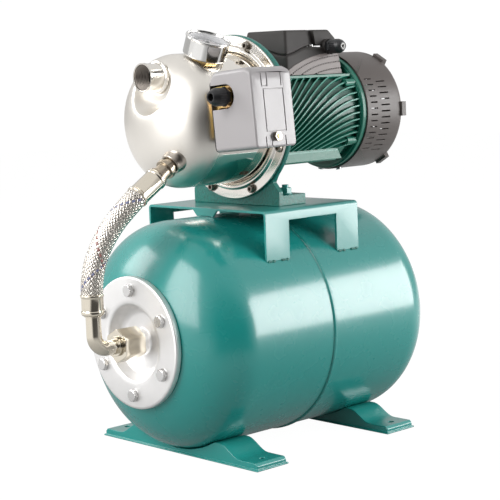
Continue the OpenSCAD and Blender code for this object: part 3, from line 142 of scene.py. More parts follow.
class Graph:
    """A node tree under construction."""

    def __init__(self, tree: Tree) -> None:
        """Keeps the tree."""
        self.tree = tree

    def feed(self, socket: Socket, value: object) -> None:
        """Sets a socket's value or links it."""
        value = value.socket if isinstance(value, Num) else value
        if isinstance(value, Socket):
            self.tree.links.new(value, socket)
        elif socket.type == "RGBA" and len(value) == 3:
            socket.default_value = (*value, 1.0)
        else:
            socket.default_value = value

    def node(self, kind: str, inputs: Inputs | None = None, **settings: object) -> Node:
        """Adds any node.

        Args:
            kind: The node's type.
            inputs: Values or links by the socket's name or index.
            settings: Properties that are set first.

        Returns:
            The node.
        """
        made = self.tree.nodes.new(kind)
        for key, value in settings.items():
            setattr(made, key, value)
        for key, value in (inputs or {}).items():
            self.feed(made.inputs[key], value)
        return made

    def socket(self, kind: str, inputs: Inputs | None = None, output: int | str = 0,
               **settings: object) -> Socket:
        """Adds any node and takes one of its outputs."""
        return self.node(kind, inputs, **settings).outputs[output]

    def number(self, kind: str, inputs: Inputs | None = None, output: int | str = 0,
               **settings: object) -> Num:
        """Adds any node and takes one of its outputs as a number."""
        return Num(self, self.socket(kind, inputs, output, **settings))

    def axis(self, index: int, source: str = "Object") -> Num:
        """One coordinate, by default of the object and in metres."""
        where = self.socket("ShaderNodeTexCoord", output=source)
        return self.number("ShaderNodeSeparateXYZ", {0: where}, index)

    def noise(self, scale: float, detail: float = 2.0, stretch: Point = (1.0, 1.0, 1.0)) -> Num:
        """Noise from 0 to 1 over stretched Object coordinates."""
        place = self.socket("ShaderNodeTexCoord", output="Object")
        place = self.socket("ShaderNodeMapping", {"Vector": place, "Scale": stretch})
        return self.number("ShaderNodeTexNoise", {"Vector": place, "Scale": scale, "Detail": detail})

    def attribute(self, name: str) -> Num:
        """A number stored on the mesh."""
        return self.number("ShaderNodeAttribute", output="Fac", attribute_name=name)

    def rays(self, kind: str) -> Num:
        """1 for the rays of one kind, such as Camera."""
        return self.number("ShaderNodeLightPath", output=f"Is {kind} Ray")

    def mix(self, share: Amount, first: object, second: object) -> Socket:
        """Blends two colours."""
        return self.socket("ShaderNodeMix", {0: share, 6: first, 7: second}, 2, data_type="RGBA")

    def bump(self, height: Num, depth: float) -> Socket:
        """Turns a height into a normal; depth is in metres."""
        return self.socket("ShaderNodeBump", {"Height": height, "Distance": depth})


# FINISHES


@dataclass(frozen=True)
class Finish:
    """One plain finish, the base of the others."""

    slot: str
    colour: Colour
    roughness: float = 0.4
    metallic: float = 0.0
    coat: float = 0.0
    gloss: float = 0.06
    grain: float = 1200.0
    depth: float = 20e-6

    @property
    def title(self) -> str:
        """Name of the material, which differs wherever slot, kind or colour differ."""
        shade = "".join(f"{round(99 * c):02d}" for c in self.colour)
        return f"{self.slot}_{type(self).__name__.lower()}_{shade}"

    def tinted(self, gain: float) -> Colour:
        """The colour made lighter or darker."""
        return tuple(min(1.0, c * gain) for c in self.colour)

    def skin(self, graph: Graph, colour: object, rough: Num, height: Num) -> Inputs:
        """The three things that most finishes vary, by the shader's socket."""
        return {"Base Color": colour, "Roughness": rough, "Normal": graph.bump(height, self.depth)}

    def dress(self, graph: Graph) -> Inputs:
        """The moulded grain and slight unevenness of a plain finish, by the shader's socket."""
        blotch = graph.mix(graph.noise(14.0, 3.0), self.tinted(0.9), self.tinted(1.08))
        rough = graph.noise(60.0, 3.0) * 0.12 + (self.roughness - 0.06)
        return self.skin(graph, blotch, rough, graph.noise(self.grain))

    def material(self) -> bpy.types.Material:
        """Makes the material once and returns it."""
        made = bpy.data.materials.get(self.title)
        if made:
            return made
        made = bpy.data.materials.new(self.title)
        made.use_nodes = True
        graph = Graph(made.node_tree)
        plain = {"Base Color": self.colour, "Roughness": self.roughness, "Metallic": self.metallic,
                 "Coat Weight": self.coat, "Coat Roughness": self.gloss}
        for values in (plain, self.dress(graph)):
            for name, value in values.items():
                graph.feed(made.node_tree.nodes["Principled BSDF"].inputs[name], value)
        return made


@dataclass(frozen=True)
class Enamel(Finish):
    """Sprayed enamel with orange peel."""

    def dress(self, graph: Graph) -> Inputs:
        """Paint that pools a little darker in places, over a fine orange peel."""
        cloud = graph.mix(graph.noise(5.0), self.tinted(0.93), self.tinted(1.07))
        rough = graph.noise(30.0, 3.0) * 0.10 + (self.roughness - 0.05)
        peel = graph.noise(420.0, 1.0) * 0.7 + graph.noise(1500.0, 1.0) * 0.3
        return self.skin(graph, cloud, rough, peel)


@dataclass(frozen=True)
class Casting(Finish):
    """Enamel over a sand-cast skin."""

    def dress(self, graph: Graph) -> Inputs:
        """Coarse pits and lumps, with the colour darker where the surface is low."""
        sand = graph.noise(330.0, 4.0) * 0.7 + graph.noise(900.0) * 0.3
        colour = graph.mix(sand.between(0.38, 0.58), self.tinted(0.72), self.tinted(1.12))
        return self.skin(graph, colour, sand * 0.3 + (self.roughness - 0.12), sand)


@dataclass(frozen=True)
class Finned(Casting):
    """Casting enamel on fins between two radii about the shaft, in millimetres."""

    root: float = 63.6
    tip: float = 68.6
    # Colour of the painted highlight along the fin edges.
    pale: Colour = (0.10, 0.36, 0.28)

    def dress(self, graph: Graph) -> Inputs:
        """Painted shade between the fins, darkest at their roots, and a thin painted highlight along their
        edges.
        """
        y, z = graph.axis(1), graph.axis(2) - SHAFT_Z * MM
        reach = (y * y + z * z).power(0.5)
        past = reach.between((self.tip + 0.2) * MM, (self.tip + 0.6) * MM)
        # Painted highlight: a thin pale band just inside the fin tips.
        edge = reach.between((self.tip - 0.7) * MM, (self.tip - 0.1) * MM) * (1.0 - past)
        # Painted shade: darker towards the fin roots, between the fins.
        depth = reach.between(self.root * MM, (self.tip - 1.0) * MM)
        lumps = graph.noise(330.0, 4.0)
        paint = graph.mix(depth * 0.8 + lumps * 0.2, self.tinted(0.55), self.tinted(1.1))
        rough = lumps * 0.3 + (self.roughness - 0.12)
        return self.skin(graph, graph.mix(edge, paint, self.pale), rough, lumps)


class Lay(Enum):
    """Way that the fine lines of a metal run, as the stretch of their noise."""

    TURNED = (900.0, 6.0, 6.0)
    DOMED = (700.0, 5.0, 5.0)
    EVEN = (90.0, 90.0, 90.0)


@dataclass(frozen=True)
class Metal(Finish):
    """Bare or plated metal with fine lines."""

    metallic: float = 1.0
    lay: Lay = Lay.EVEN
    lines: float = 0.10
    blotch: float = 0.12

    def dress(self, graph: Graph) -> Inputs:
        """Fine lines in the lay's direction, soft smears and a slight tint."""
        lines = graph.noise(1.0, 2.0, self.lay.value)
        smear = graph.noise(22.0, 4.0)
        tint = graph.mix(smear, self.tinted(1.0 - self.blotch), self.tinted(1.0 + self.blotch / 2))
        rough = lines * self.lines + smear * 0.08 + (self.roughness - self.lines / 2 - 0.04)
        return self.skin(graph, tint, rough, lines)


@dataclass(frozen=True)
class DrawnCasing(Metal):
    """Polished stainless that is satin on its domed end, past an edge on X in metres."""

    lay: Lay = Lay.DOMED
    satin: float = 0.36
    edge: float = -0.104

    def dress(self, graph: Graph) -> Inputs:
        """Bright along the barrel, satin where the end was drawn and brushed."""
        dome = 1.0 - graph.axis(0).between(self.edge - 0.012, self.edge + 0.004)
        lines = graph.noise(1.0, 2.0, self.lay.value)
        smear = graph.noise(26.0, 4.0)
        tint = graph.mix(smear, self.tinted(0.9), self.tinted(1.05))
        rough = dome * (self.satin - self.roughness) + smear * 0.04 + lines * 0.04 + (self.roughness - 0.03)
        return self.skin(graph, tint, rough, lines)


@dataclass(frozen=True)
class Chromate(Metal):
    """Yellow passivated zinc with its rainbow cast."""

    second: Colour = (0.80, 0.42, 0.34)

    def dress(self, graph: Graph) -> Inputs:
        """Gold that drifts towards pink."""
        drift = graph.mix(graph.noise(35.0, 3.0).between(0.45, 0.75), self.colour, self.second)
        rough = graph.noise(80.0) * 0.15 + (self.roughness - 0.07)
        return self.skin(graph, drift, rough, graph.noise(self.grain))


@dataclass(frozen=True)
class WireBraid(Metal):
    """Stainless wire braid with two coloured tracer strands."""

    # Gap colour: the dark hose under the braid, with painted shade in the gaps.
    gap: Colour = (0.012, 0.010, 0.009)
    red: Colour = (0.42, 0.20, 0.18)
    blue: Colour = (0.22, 0.25, 0.40)

    def dress(self, graph: Graph) -> Inputs:
        """Bright wires, dark gaps of hose with painted shade, painted shade where the strands cross, and fine
        wire lines from the mesh's own values.
        """
        tracer = graph.attribute("tracer")
        # The height value is cut to nothing where strands cross, so the dark gap colour there is painted
        # shade.
        wire = graph.attribute("height").between(0.1, 0.45)
        red = graph.mix(tracer.between(0.2, 0.4), graph.mix(wire, self.gap, self.colour), self.red)
        colour = graph.mix(tracer.between(0.6, 0.8), red, self.blue)
        skin = self.skin(graph, colour, 0.42 - wire * 0.23, graph.attribute("wire"))
        return skin | {"Metallic": wire - tracer.between(0.1, 0.3)}


@dataclass(frozen=True)
class Window(Finish):
    """Clear window."""

    def dress(self, graph: Graph) -> Inputs:
        """Clear, with faint smears and a thin reflection."""
        return {"Alpha": 0.10, "Roughness": graph.noise(80.0, 3.0) * 0.03 + self.roughness}


@dataclass(frozen=True)
class Coil(Finish):
    """Varnished windings."""

    def dress(self, graph: Graph) -> Inputs:
        """Close wires running round the coil."""
        wires = graph.noise(1.0, 1.0, (30.0, 900.0, 900.0))
        colour = graph.mix(wires, self.tinted(0.5), self.tinted(1.2))
        return {"Base Color": colour, "Normal": graph.bump(wires, self.depth)}


class Finishes:
    """Every finish of the pump set, by what it is on."""

    tank = Enamel("tank_enamel", (0.012, 0.300, 0.272), roughness=0.27, coat=0.68, gloss=0.14, depth=12e-6)
    platform = Enamel("tank_enamel", (0.016, 0.305, 0.275), roughness=0.34, coat=0.8, gloss=0.18)
    cast = Casting("cast_green", (0.005, 0.185, 0.150), coat=0.25, gloss=0.15, depth=1.1e-3)
    motor = Finned("motor_green", (0.002, 0.160, 0.105), roughness=0.46, coat=0.3, gloss=0.14, depth=1e-4)
    zinc = Metal("zinc_plate", (0.90, 0.89, 0.88), roughness=0.44, lines=0.08, depth=12e-6)
    bolt = Metal("zinc_plate", (0.72, 0.71, 0.70), roughness=0.22, lines=0.06, depth=8e-6)
    casing = DrawnCasing("stainless", (0.81, 0.775, 0.72), roughness=0.055, depth=4e-6)
    stainless = Metal("stainless", (0.80, 0.765, 0.71), roughness=0.16, lay=Lay.TURNED, depth=6e-6)
    nickel = Metal("nickel", (0.76, 0.70, 0.59), roughness=0.11, lines=0.05, depth=6e-6)
    braid = WireBraid("braid", (0.72, 0.675, 0.615), roughness=0.3, depth=8e-5)
    boss = Metal("stainless", (0.52, 0.47, 0.41), roughness=0.30, depth=6e-6)
    nipple = Metal("nickel", (0.44, 0.38, 0.30), roughness=0.30, depth=8e-6)
    thread = Metal("stainless", (0.36, 0.32, 0.285), roughness=0.46, lay=Lay.TURNED, depth=1e-5)
    # Painted shade: a darker copy of the stainless for the thread inside the suction bore.
    screw = Metal("screw_steel", (0.33, 0.30, 0.26), roughness=0.3, depth=1e-5)
    steel = Metal("steel", (0.56, 0.57, 0.58), roughness=0.26, lay=Lay.TURNED, depth=8e-6)
    brass = Metal("brass", (0.78, 0.56, 0.25), roughness=0.24, lay=Lay.TURNED, depth=8e-6)
    core = Metal("core_steel", (0.27, 0.27, 0.28), roughness=0.45, lay=Lay.TURNED, lines=0.3, depth=8e-5)
    copper = Coil("copper", (0.55, 0.19, 0.07), roughness=0.35, coat=0.4, depth=2e-4)
    ceramic = Finish("ceramic", (0.88, 0.87, 0.83), roughness=0.15, grain=2000.0, depth=5e-6)
    rubber = Finish("rubber", (0.025, 0.025, 0.026), roughness=0.6, grain=900.0, depth=4e-5)
    black = Finish("black_plastic", (0.018, 0.018, 0.020), roughness=0.34, grain=1600.0)
    cover = Finish("cover_grey", (0.104, 0.088, 0.081), roughness=0.44, grain=1400.0, depth=4e-5)
    box = Finish("box_black", (0.026, 0.022, 0.020), roughness=0.62, grain=1400.0, depth=4e-5)
    # Painted light: a lighter copy of the box's black plastic, as if the ribs catch the light.
    ribs = Finish("box_black", (0.215, 0.182, 0.172), roughness=0.42, grain=1400.0, depth=3e-5)
    seal = Finish("rubber", (0.80, 0.80, 0.78), roughness=0.5, grain=900.0)
    capacitor = Finish("capacitor_white", (0.82, 0.82, 0.80), roughness=0.3)
    chromate = Chromate("yellow_chromate", (0.80, 0.58, 0.17), roughness=0.26, depth=1e-5)
    switch = Finish("switch_grey", (0.435, 0.415, 0.420), roughness=0.30, coat=0.2, grain=1500.0)
    gauge = Metal("gauge_steel", (0.80, 0.79, 0.77), roughness=0.10, lay=Lay.TURNED, lines=0.04, depth=3e-6)
    dial = Finish("dial_white", (0.86, 0.86, 0.87), roughness=0.5, grain=2500.0, depth=4e-6)
    glass = Window("gauge_glass", (0.95, 0.97, 0.97), roughness=0.06)
    ink = Finish("black_plastic", (0.02, 0.02, 0.025), roughness=0.5, grain=2400.0, depth=1e-6)
    red_ink = Enamel("dial_white", (0.55, 0.03, 0.03), roughness=0.5, depth=1e-6)


# MESHES


def fan(total: float, steps: int) -> list[float]:
    """Values from 0 to a total in equal steps, both ends included."""
    return [total * i / steps for i in range(steps + 1)]


def clamped(value: float) -> float:
    """A value held between 0 and 1."""
    return min(1.0, max(0.0, value))


@contextmanager
def edited(mesh: Mesh) -> Iterator[bmesh.types.BMesh]:
    """Opens a mesh for editing and writes it back."""
    work = bmesh.new()
    work.from_mesh(mesh)
    yield work
    work.to_mesh(mesh)
    work.free()


def cleaned(mesh: Mesh) -> Mesh:
    """Merges doubles and points the faces outwards."""
    with edited(mesh) as work:
        bmesh.ops.remove_doubles(work, verts=work.verts, dist=MERGE)
        bmesh.ops.recalc_face_normals(work, faces=work.faces)
    return mesh


class Draft:
    """Points and faces of one mesh, in millimetres in the row frame."""

    def __init__(self) -> None:
        """Starts empty."""
        self.points: list[Point] = []
        self.faces: list[tuple[int, ...]] = []

    def strip(self, rings: Sequence[Sequence[Point]], loop: bool = False, caps: bool = True) -> "Draft":
        """Joins rings of equal length by quads.

        Args:
            rings: The rings in order, each closed on itself.
            loop: Join the last ring to the first.
            caps: Close the first and last ring with a face.

        Returns:
            This draft.
        """
        base = len(self.points)
        size = len(rings[0])
        for ring in rings:
            self.points.extend(tuple(p) for p in ring)
        for i in range(len(rings) if loop else len(rings) - 1):
            a = base + i * size
            b = base + (i + 1) % len(rings) * size
            for k in range(size):
                j = (k + 1) % size
                self.faces.append((a + k, a + j, b + j, b + k))
        if caps and not loop:
            last = base + (len(rings) - 1) * size
            self.faces.append(tuple(base + k for k in reversed(range(size))))
            self.faces.append(tuple(last + k for k in range(size)))
        return self

    def lathe(self, profile: Profile, loop: bool = True, sides: int = 128, axis_z: float = 0.0,
              shape: Callable[[float, float], float] | None = None) -> "Draft":
        """Turns a profile of [x, r] points about a line along X.

        Args:
            profile: The points; an r of 0 closes to a pole.
            loop: Join the last point to the first, as for a ring or a wall.
            sides: Number of steps round the axis.
            axis_z: Height of the line.
            shape: Gives the real radius for r and the angle.

        Returns:
            This draft.
        """
        turns = fan(2 * math.pi, sides)[:-1]
        rings = []
        for x, r in profile:
            reach = [max(shape(r, a) if shape else r, POLE) for a in turns]
            rings.append([(x, -d * math.sin(a), axis_z + d * math.cos(a)) for d, a in zip(reach, turns)])
        return self.strip(rings, loop, caps=not loop)

    def block(self, low: Point, high: Point) -> "Draft":
        """Adds a box between two corners."""
        corners = ((low[0], low[1]), (high[0], low[1]), (high[0], high[1]), (low[0], high[1]))
        return self.strip([[(x, y, z) for x, y in corners] for z in (low[2], high[2])])

    def also(self, other: "Draft") -> "Draft":
        """Adds another draft's points and faces."""
        base = len(self.points)
        self.points += other.points
        self.faces += [tuple(base + i for i in face) for face in other.faces]
        return self

    def moved(self, matrix: Matrix) -> "Draft":
        """Turns and moves every point by a matrix in millimetres."""
        self.points = [tuple(matrix @ Vector(p)) for p in self.points]
        return self

    def raw(self, name: str) -> Mesh:
        """Makes the mesh in metres as it is drawn."""
        made = bpy.data.meshes.new(name)
        made.from_pydata([tuple(c * MM for c in p) for p in self.points], [], self.faces)
        return made

    def mesh(self, name: str) -> Mesh:
        """Makes the mesh in metres, merged and with its faces pointing outwards."""
        return cleaned(self.raw(name))


def carried_frames(path: Sequence[Vector]) -> list[tuple[Vector, Vector, Vector]]:
    """Point, side and up at each point of a path, carried along without twist."""
    frames = []
    side = Vector((0, 1, 0))
    for i, point in enumerate(path):
        ahead = (path[min(i + 1, len(path) - 1)] - path[max(i - 1, 0)]).normalized()
        side = (side - side.dot(ahead) * ahead).normalized()
        frames.append((point, side, ahead.cross(side)))
    return frames


def smooth_path(points: Sequence[Point], per_span: int) -> list[Vector]:
    """Curve through the points, with per_span steps between each two."""
    knots = [Vector(p) for p in points]
    knots = [2 * knots[0] - knots[1], *knots, 2 * knots[-1] - knots[-2]]
    out = []
    for i in range(1, len(knots) - 2):
        a, b, c, d = knots[i - 1:i + 3]
        for t in fan(1.0, per_span)[:-1]:
            out.append(0.5 * (2 * b + (c - a) * t + (2 * a - 5 * b + 4 * c - d) * t * t
                              + (3 * b - a - 3 * c + d) * t ** 3))
    return out + [knots[-2]]


def rounded(points: Profile, radius: float, steps: int = 3, loop: bool = True) -> list[Pair]:
    """Rounds the corners of a profile.

    Args:
        points: Corners in order.
        radius: Largest corner radius.
        steps: Steps on each corner.
        loop: The profile is closed; otherwise its two ends stay.

    Returns:
        The new profile.
    """
    out = []
    for i, corner in enumerate(points):
        if not loop and i in (0, len(points) - 1):
            out.append(tuple(corner))
            continue
        here = Vector(corner)
        back = Vector(points[i - 1]) - here
        ahead = Vector(points[(i + 1) % len(points)]) - here
        reach = min(radius, back.length * 0.45, ahead.length * 0.45)
        first = here + back.normalized() * reach
        last = here + ahead.normalized() * reach
        out += [tuple((1 - t) ** 2 * first + 2 * t * (1 - t) * here + t * t * last)
                for t in fan(1.0, steps)]
    return out


def hexagonal(half: float, angle: float) -> float:
    """Radius of a hexagon with a half width."""
    return half / math.cos((angle % (math.pi / 3)) - math.pi / 6)


def smooth_step(t: float) -> float:
    """Soft ramp from 0 to 1."""
    t = clamped(t)
    return t * t * (3 - 2 * t)


def aimed(point: Point, direction: Point, across: Point = (0, 1, 0)) -> Matrix:
    """Matrix that puts a piece drawn along +X at a point, aimed along a direction."""
    ahead = Vector(direction).normalized()
    side = (Vector(across) - Vector(across).dot(ahead) * ahead).normalized()
    matrix = Matrix((ahead, side, ahead.cross(side))).transposed().to_4x4()
    matrix.translation = Vector(point)
    return matrix


def turned_mesh(mesh: Mesh, matrix: Matrix) -> Mesh:
    """Turns and moves a mesh by a matrix in millimetres."""
    scaled = matrix.copy()
    scaled.translation = matrix.translation * MM
    mesh.transform(scaled)
    return mesh


def joined(name: str, meshes: Sequence[Mesh]) -> Mesh:
    """One mesh from several."""
    made = bpy.data.meshes.new(name)
    with edited(made) as work:
        for mesh in meshes:
            work.from_mesh(mesh)
    return made


def placed(name: str, data: bpy.types.ID) -> Item:
    """Puts new data into the scene as an object."""
    made = bpy.data.objects.new(name, data)
    bpy.context.scene.collection.objects.link(made)
    return made


def final_mesh(item: Item, *helpers: Item) -> Mesh:
    """Plain mesh of an object after its modifiers; it and its helpers leave the scene."""
    bpy.context.view_layer.update()
    made = bpy.data.meshes.new_from_object(item.evaluated_get(bpy.context.evaluated_depsgraph_get()))
    for used in (item, *helpers):
        bpy.data.objects.remove(used)
    return made


def carved(mesh: Mesh, cutter: Mesh) -> Mesh:
    """Cuts one closed mesh out of another."""
    item, knife = placed("carve", mesh), placed("carve", cutter)
    cut = item.modifiers.new("cut", "BOOLEAN")
    cut.operation = "DIFFERENCE"
    cut.solver = "EXACT"
    cut.use_self = True
    cut.object = knife
    return final_mesh(item, knife)


def ring_about(x: float, sides: int, reach: Callable[[int, float], float]) -> list[Point]:
    """Ring of points about X, whose radius follows the step and its angle."""
    turns = fan(2 * math.pi, sides)[:-1]
    return [(x, reach(k, a) * math.cos(a), reach(k, a) * math.sin(a)) for k, a in enumerate(turns)]


def bolt_head(af_half: float, height: float) -> Draft:
    """Hexagonal head whose top points along -X, with a chamfered crown."""
    corner = af_half / math.cos(math.pi / 6)
    return Draft().strip([
        ring_about(x, 36, lambda _, a, limit=limit: min(hexagonal(af_half, a), limit))
        for x, limit in ((0.0, corner), (-height * 0.75, corner), (-height * 0.92, af_half * 1.04),
                         (-height, af_half * 0.93))])


def socket_screw(radius: float, height: float) -> Draft:
    """Socket screw head whose top points along -X, with flutes round its side."""
    sides, flute = 60, 0.25
    side = [ring_about(x, sides, lambda k, _, r=r, cut=cut: r - (cut if k % 3 == 0 else 0.0))
            for x, r, cut in ((0.0, radius, 0.0), (0.0, radius, flute), (-height * 0.8, radius, flute),
                              (-height * 0.85, radius - 0.2, 0.0), (-height, radius - 0.7, 0.0))]
    socket = [ring_about(x, sides, lambda _, a: hexagonal(radius * 0.5, a))
              for x in (-height, -height * 0.4)]
    return Draft().strip([*side, *socket])


def thickened(skin: Item, wall: float) -> None:
    """Gives a skin its wall, inwards and in millimetres."""
    modifier = skin.modifiers.new("sheet", "SOLIDIFY")
    modifier.thickness = wall * MM
    modifier.offset = -1.0


class Bench:
    """Puts finished pieces into the scene and reports them."""

    def __init__(self) -> None:
        """Starts the count."""
        self.count = 0

    def add(self, name: str, mesh: Mesh, finish: Finish, body: str = ROOT,
            stands_for: str = "", bevel: float = 0.0, steps: int = 2,
            crease: float = 32.0) -> Item:
        """Adds one piece that rides on a body.

        Args:
            name: Name of the piece.
            mesh: Its mesh in metres, in place.
            finish: Its finish.
            body: The body that carries it.
            stands_for: CAD node that it replaces, if any.
            bevel: Width of its rounded edges in millimetres.
            steps: Steps across a rounded edge.
            crease: Angle past which an edge stays sharp, in degrees.

        Returns:
            The object.
        """
        made = placed(name, mesh)
        mesh.materials.clear()
        mesh.materials.append(finish.material())
        for polygon in mesh.polygons:
            polygon.use_smooth = True
        mesh.set_sharp_from_angle(angle=math.radians(crease))
        if bevel:
            soft = made.modifiers.new("edges", "BEVEL")
            soft.width = bevel * MM
            soft.segments = steps
            soft.limit_method = "ANGLE"
            soft.angle_limit = math.radians(crease)
            soft.use_clamp_overlap = False
            soft.harden_normals = True
        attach(made, body)
        if stands_for:
            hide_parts(stands_for)
        self.count += 1
        LOG.info("piece %s on %s in %s", name, body, finish.title)
        return made

    def turned(self, name: str, profile: Profile, finish: Finish, sides: int = 96, axis_z: float = 0.0,
               place: Matrix | None = None, **looks: object) -> Item:
        """Adds a closed profile turned about a line along X.

        Args:
            name: Name of the piece.
            profile: Its [x, r] points.
            finish: Its finish.
            sides: Number of steps round the axis.
            axis_z: Height of the line.
            place: Moves the piece from there, if given.
            looks: More for add.

        Returns:
            The object.
        """
        draft = Draft().lathe(profile, sides=sides, axis_z=axis_z)
        if place is not None:
            draft.moved(place)
        return self.add(name, draft.mesh(name), finish, **looks)

    def softened(self, node: str, finish: Finish, bevel: float = 0.5, steps: int = 2,
                 crease: float = 32.0) -> None:
        """Replaces a CAD node by a copy with merged triangles and rounded edges.

        Args:
            node: The CAD node.
            finish: Finish of the copy.
            bevel: Width of the rounded edges in millimetres.
            steps: Steps across a rounded edge.
            crease: Angle past which an edge is rounded, in degrees.
        """
        source = frame["nodes"][node]
        mesh = source.data.copy()
        if "custom_normal" in mesh.attributes:
            mesh.attributes.remove(mesh.attributes["custom_normal"])
        with edited(mesh) as work:
            bmesh.ops.remove_doubles(work, verts=work.verts, dist=MERGE)
            bmesh.ops.dissolve_limit(work, angle_limit=math.radians(FLAT), verts=work.verts,
                                     edges=work.edges)
        self.add(f"{node}_dressed", mesh, finish, source["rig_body"], node, bevel, steps, crease)

    def finished(self, **nodes: Finish) -> None:
        """Gives CAD nodes that stay as they are their finishes."""
        for node, finish in nodes.items():
            item = frame["nodes"][node]
            if not item.material_slots:
                item.data.materials.append(None)
            for slot in item.material_slots:
                slot.material = finish.material()
            LOG.info("node %s in %s", node, finish.title)


class Repeater:
    """Geometry Nodes that set copies of an item on a ring or along a line."""

    INPUTS = {"Item": "Object", "Count": "Int", "Radius": "Float", "Start": "Float", "Step": "Float",
              "From": "Vector", "Shift": "Vector", "Jitter": "Float", "Finish": "Material"}

    def __init__(self, line: bool) -> None:
        """Builds the tree.

        Args:
            line: Copies lie on a straight line instead of a ring about X.
        """
        self.tree = bpy.data.node_groups.new("row" if line else "ring", "GeometryNodeTree")
        ends = self.tree.interface
        self.ids = {name: ends.new_socket(name, in_out="INPUT", socket_type=f"NodeSocket{kind}").identifier
                    for name, kind in self.INPUTS.items()}
        ends.new_socket("Geometry", in_out="OUTPUT", socket_type="NodeSocketGeometry")
        graph = Graph(self.tree)
        given = graph.node("NodeGroupInput").outputs
        index = graph.number("GeometryNodeInputIndex")
        angle = index * Num(graph, given["Step"]) + Num(graph, given["Start"])
        radius = Num(graph, given["Radius"])
        if line:
            shift = graph.socket("ShaderNodeVectorMath", {0: given["Shift"], "Scale": index},
                                 operation="SCALE")
        else:
            shift = graph.socket("ShaderNodeCombineXYZ", {
                1: angle.math("SINE") * radius * -1.0, 2: angle.math("COSINE") * radius})
        turn = graph.socket("ShaderNodeCombineXYZ", {0: angle})
        where = graph.socket("ShaderNodeVectorMath", {0: given["From"], 1: shift}, operation="ADD")
        points = graph.socket("GeometryNodeMeshLine", {"Count": given["Count"], "Offset": (0, 0, 0)})
        spots = graph.socket("GeometryNodeSetPosition", {"Geometry": points, "Position": where})
        low = 1.0 - Num(graph, given["Jitter"])
        size = graph.socket("FunctionNodeRandomValue", {2: low, 3: 1.0, "Seed": 7}, 1, data_type="FLOAT")
        item = graph.socket("GeometryNodeObjectInfo", {"Object": given["Item"]}, "Geometry")
        copies = graph.socket("GeometryNodeInstanceOnPoints", {
            "Points": spots, "Instance": item, "Rotation": turn, "Scale": size})
        real = graph.socket("GeometryNodeRealizeInstances", {0: copies})
        done = graph.socket("GeometryNodeSetMaterial", {"Geometry": real, "Material": given["Finish"]})
        graph.node("NodeGroupOutput", {0: done})

    def mesh(self, name: str, item: Mesh, finish: Finish, count: int, radius: float = 0.0,
             start: float = 0.0, step: float | None = None, origin: Point = (0, 0, 0),
             shift: Point = (0, 0, 0), jitter: float = 0.0) -> Mesh:
        """Runs the tree and returns a plain mesh.

        Args:
            name: Name of the new mesh.
            item: Mesh that is repeated, in metres about its own origin.
            finish: Finish of the copies.
            count: Number of copies.
            radius: Radius of the ring in millimetres.
            start: Angle of the first copy in degrees, from +Z towards -Y.
            step: Angle between copies in degrees; a full ring if left out.
            origin: Centre of the ring or start of the line, in millimetres.
            shift: Step along the line in millimetres.
            jitter: Share by which copies are smaller at random.

        Returns:
            The mesh in metres.
        """
        step = 360.0 / count if step is None else step
        unit = placed(name + "_item", item)
        host = placed(name + "_host", bpy.data.meshes.new(name + "_host"))
        modifier = host.modifiers.new("repeat", "NODES")
        modifier.node_group = self.tree
        values = {"Item": unit, "Count": count, "Radius": radius * MM, "Start": math.radians(start),
                  "Step": math.radians(step), "From": [c * MM for c in origin],
                  "Shift": [c * MM for c in shift], "Jitter": jitter, "Finish": finish.material()}
        for key, value in values.items():
            modifier[self.ids[key]] = value
        made = final_mesh(host, unit)
        made.name = name
        return made


@dataclass
class Gland:
    """Cable gland drawn along +X: hexagon, fluted domed nut and seal."""

    radius: float = 9.0
    bore: float = 3.6
    neck: float = 6.0
    neck_r: float = 6.0
    flutes: int = 20
    flute: float = 0.45

    def nut(self) -> Draft:
        """Hexagon and domed nut round the bore."""
        r, bore = self.radius, self.bore
        neck = [(-self.neck, bore), (-self.neck, self.neck_r), (0.0, self.neck_r), (0.0, bore)]
        hexagon = [(0.0, bore), (0.0, r - 0.9), (0.6, r - 0.6), (4.4, r - 0.6), (5.0, r - 0.9), (5.0, bore)]
        dome = [(5.0, bore), (5.0, r - 1.0), (5.6, r - 0.9), (6.0, r), (14.5, r), (15.6, r - 0.3),
                (18.0, r - 0.9), (20.0, r - 1.9), (21.8, r - 3.3), (23.0, r - 4.2), (23.0, bore + 0.5),
                (22.5, bore)]

        def fluted(reach: float, angle: float) -> float:
            """Radius of the nut with a flute cut into its grip, which is all that has the full radius."""
            depth = self.flute if reach == r else 0.0
            return reach - depth * max(0.0, math.cos(self.flutes * angle)) ** 2

        draft = Draft().lathe(neck, sides=64)
        draft.lathe(hexagon, sides=72, shape=lambda q, a: hexagonal(q, a) if q > bore else q)
        return draft.lathe(dome, sides=self.flutes * 8, shape=fluted)

    def seal(self) -> list[Pair]:
        """Profile of the rubber seal in the mouth of the nut."""
        return rounded([(20.0, 2.3), (20.0, 3.55), (22.6, 3.55), (22.6, 2.3)], 0.3, 2)


# SUB-ASSEMBLIES


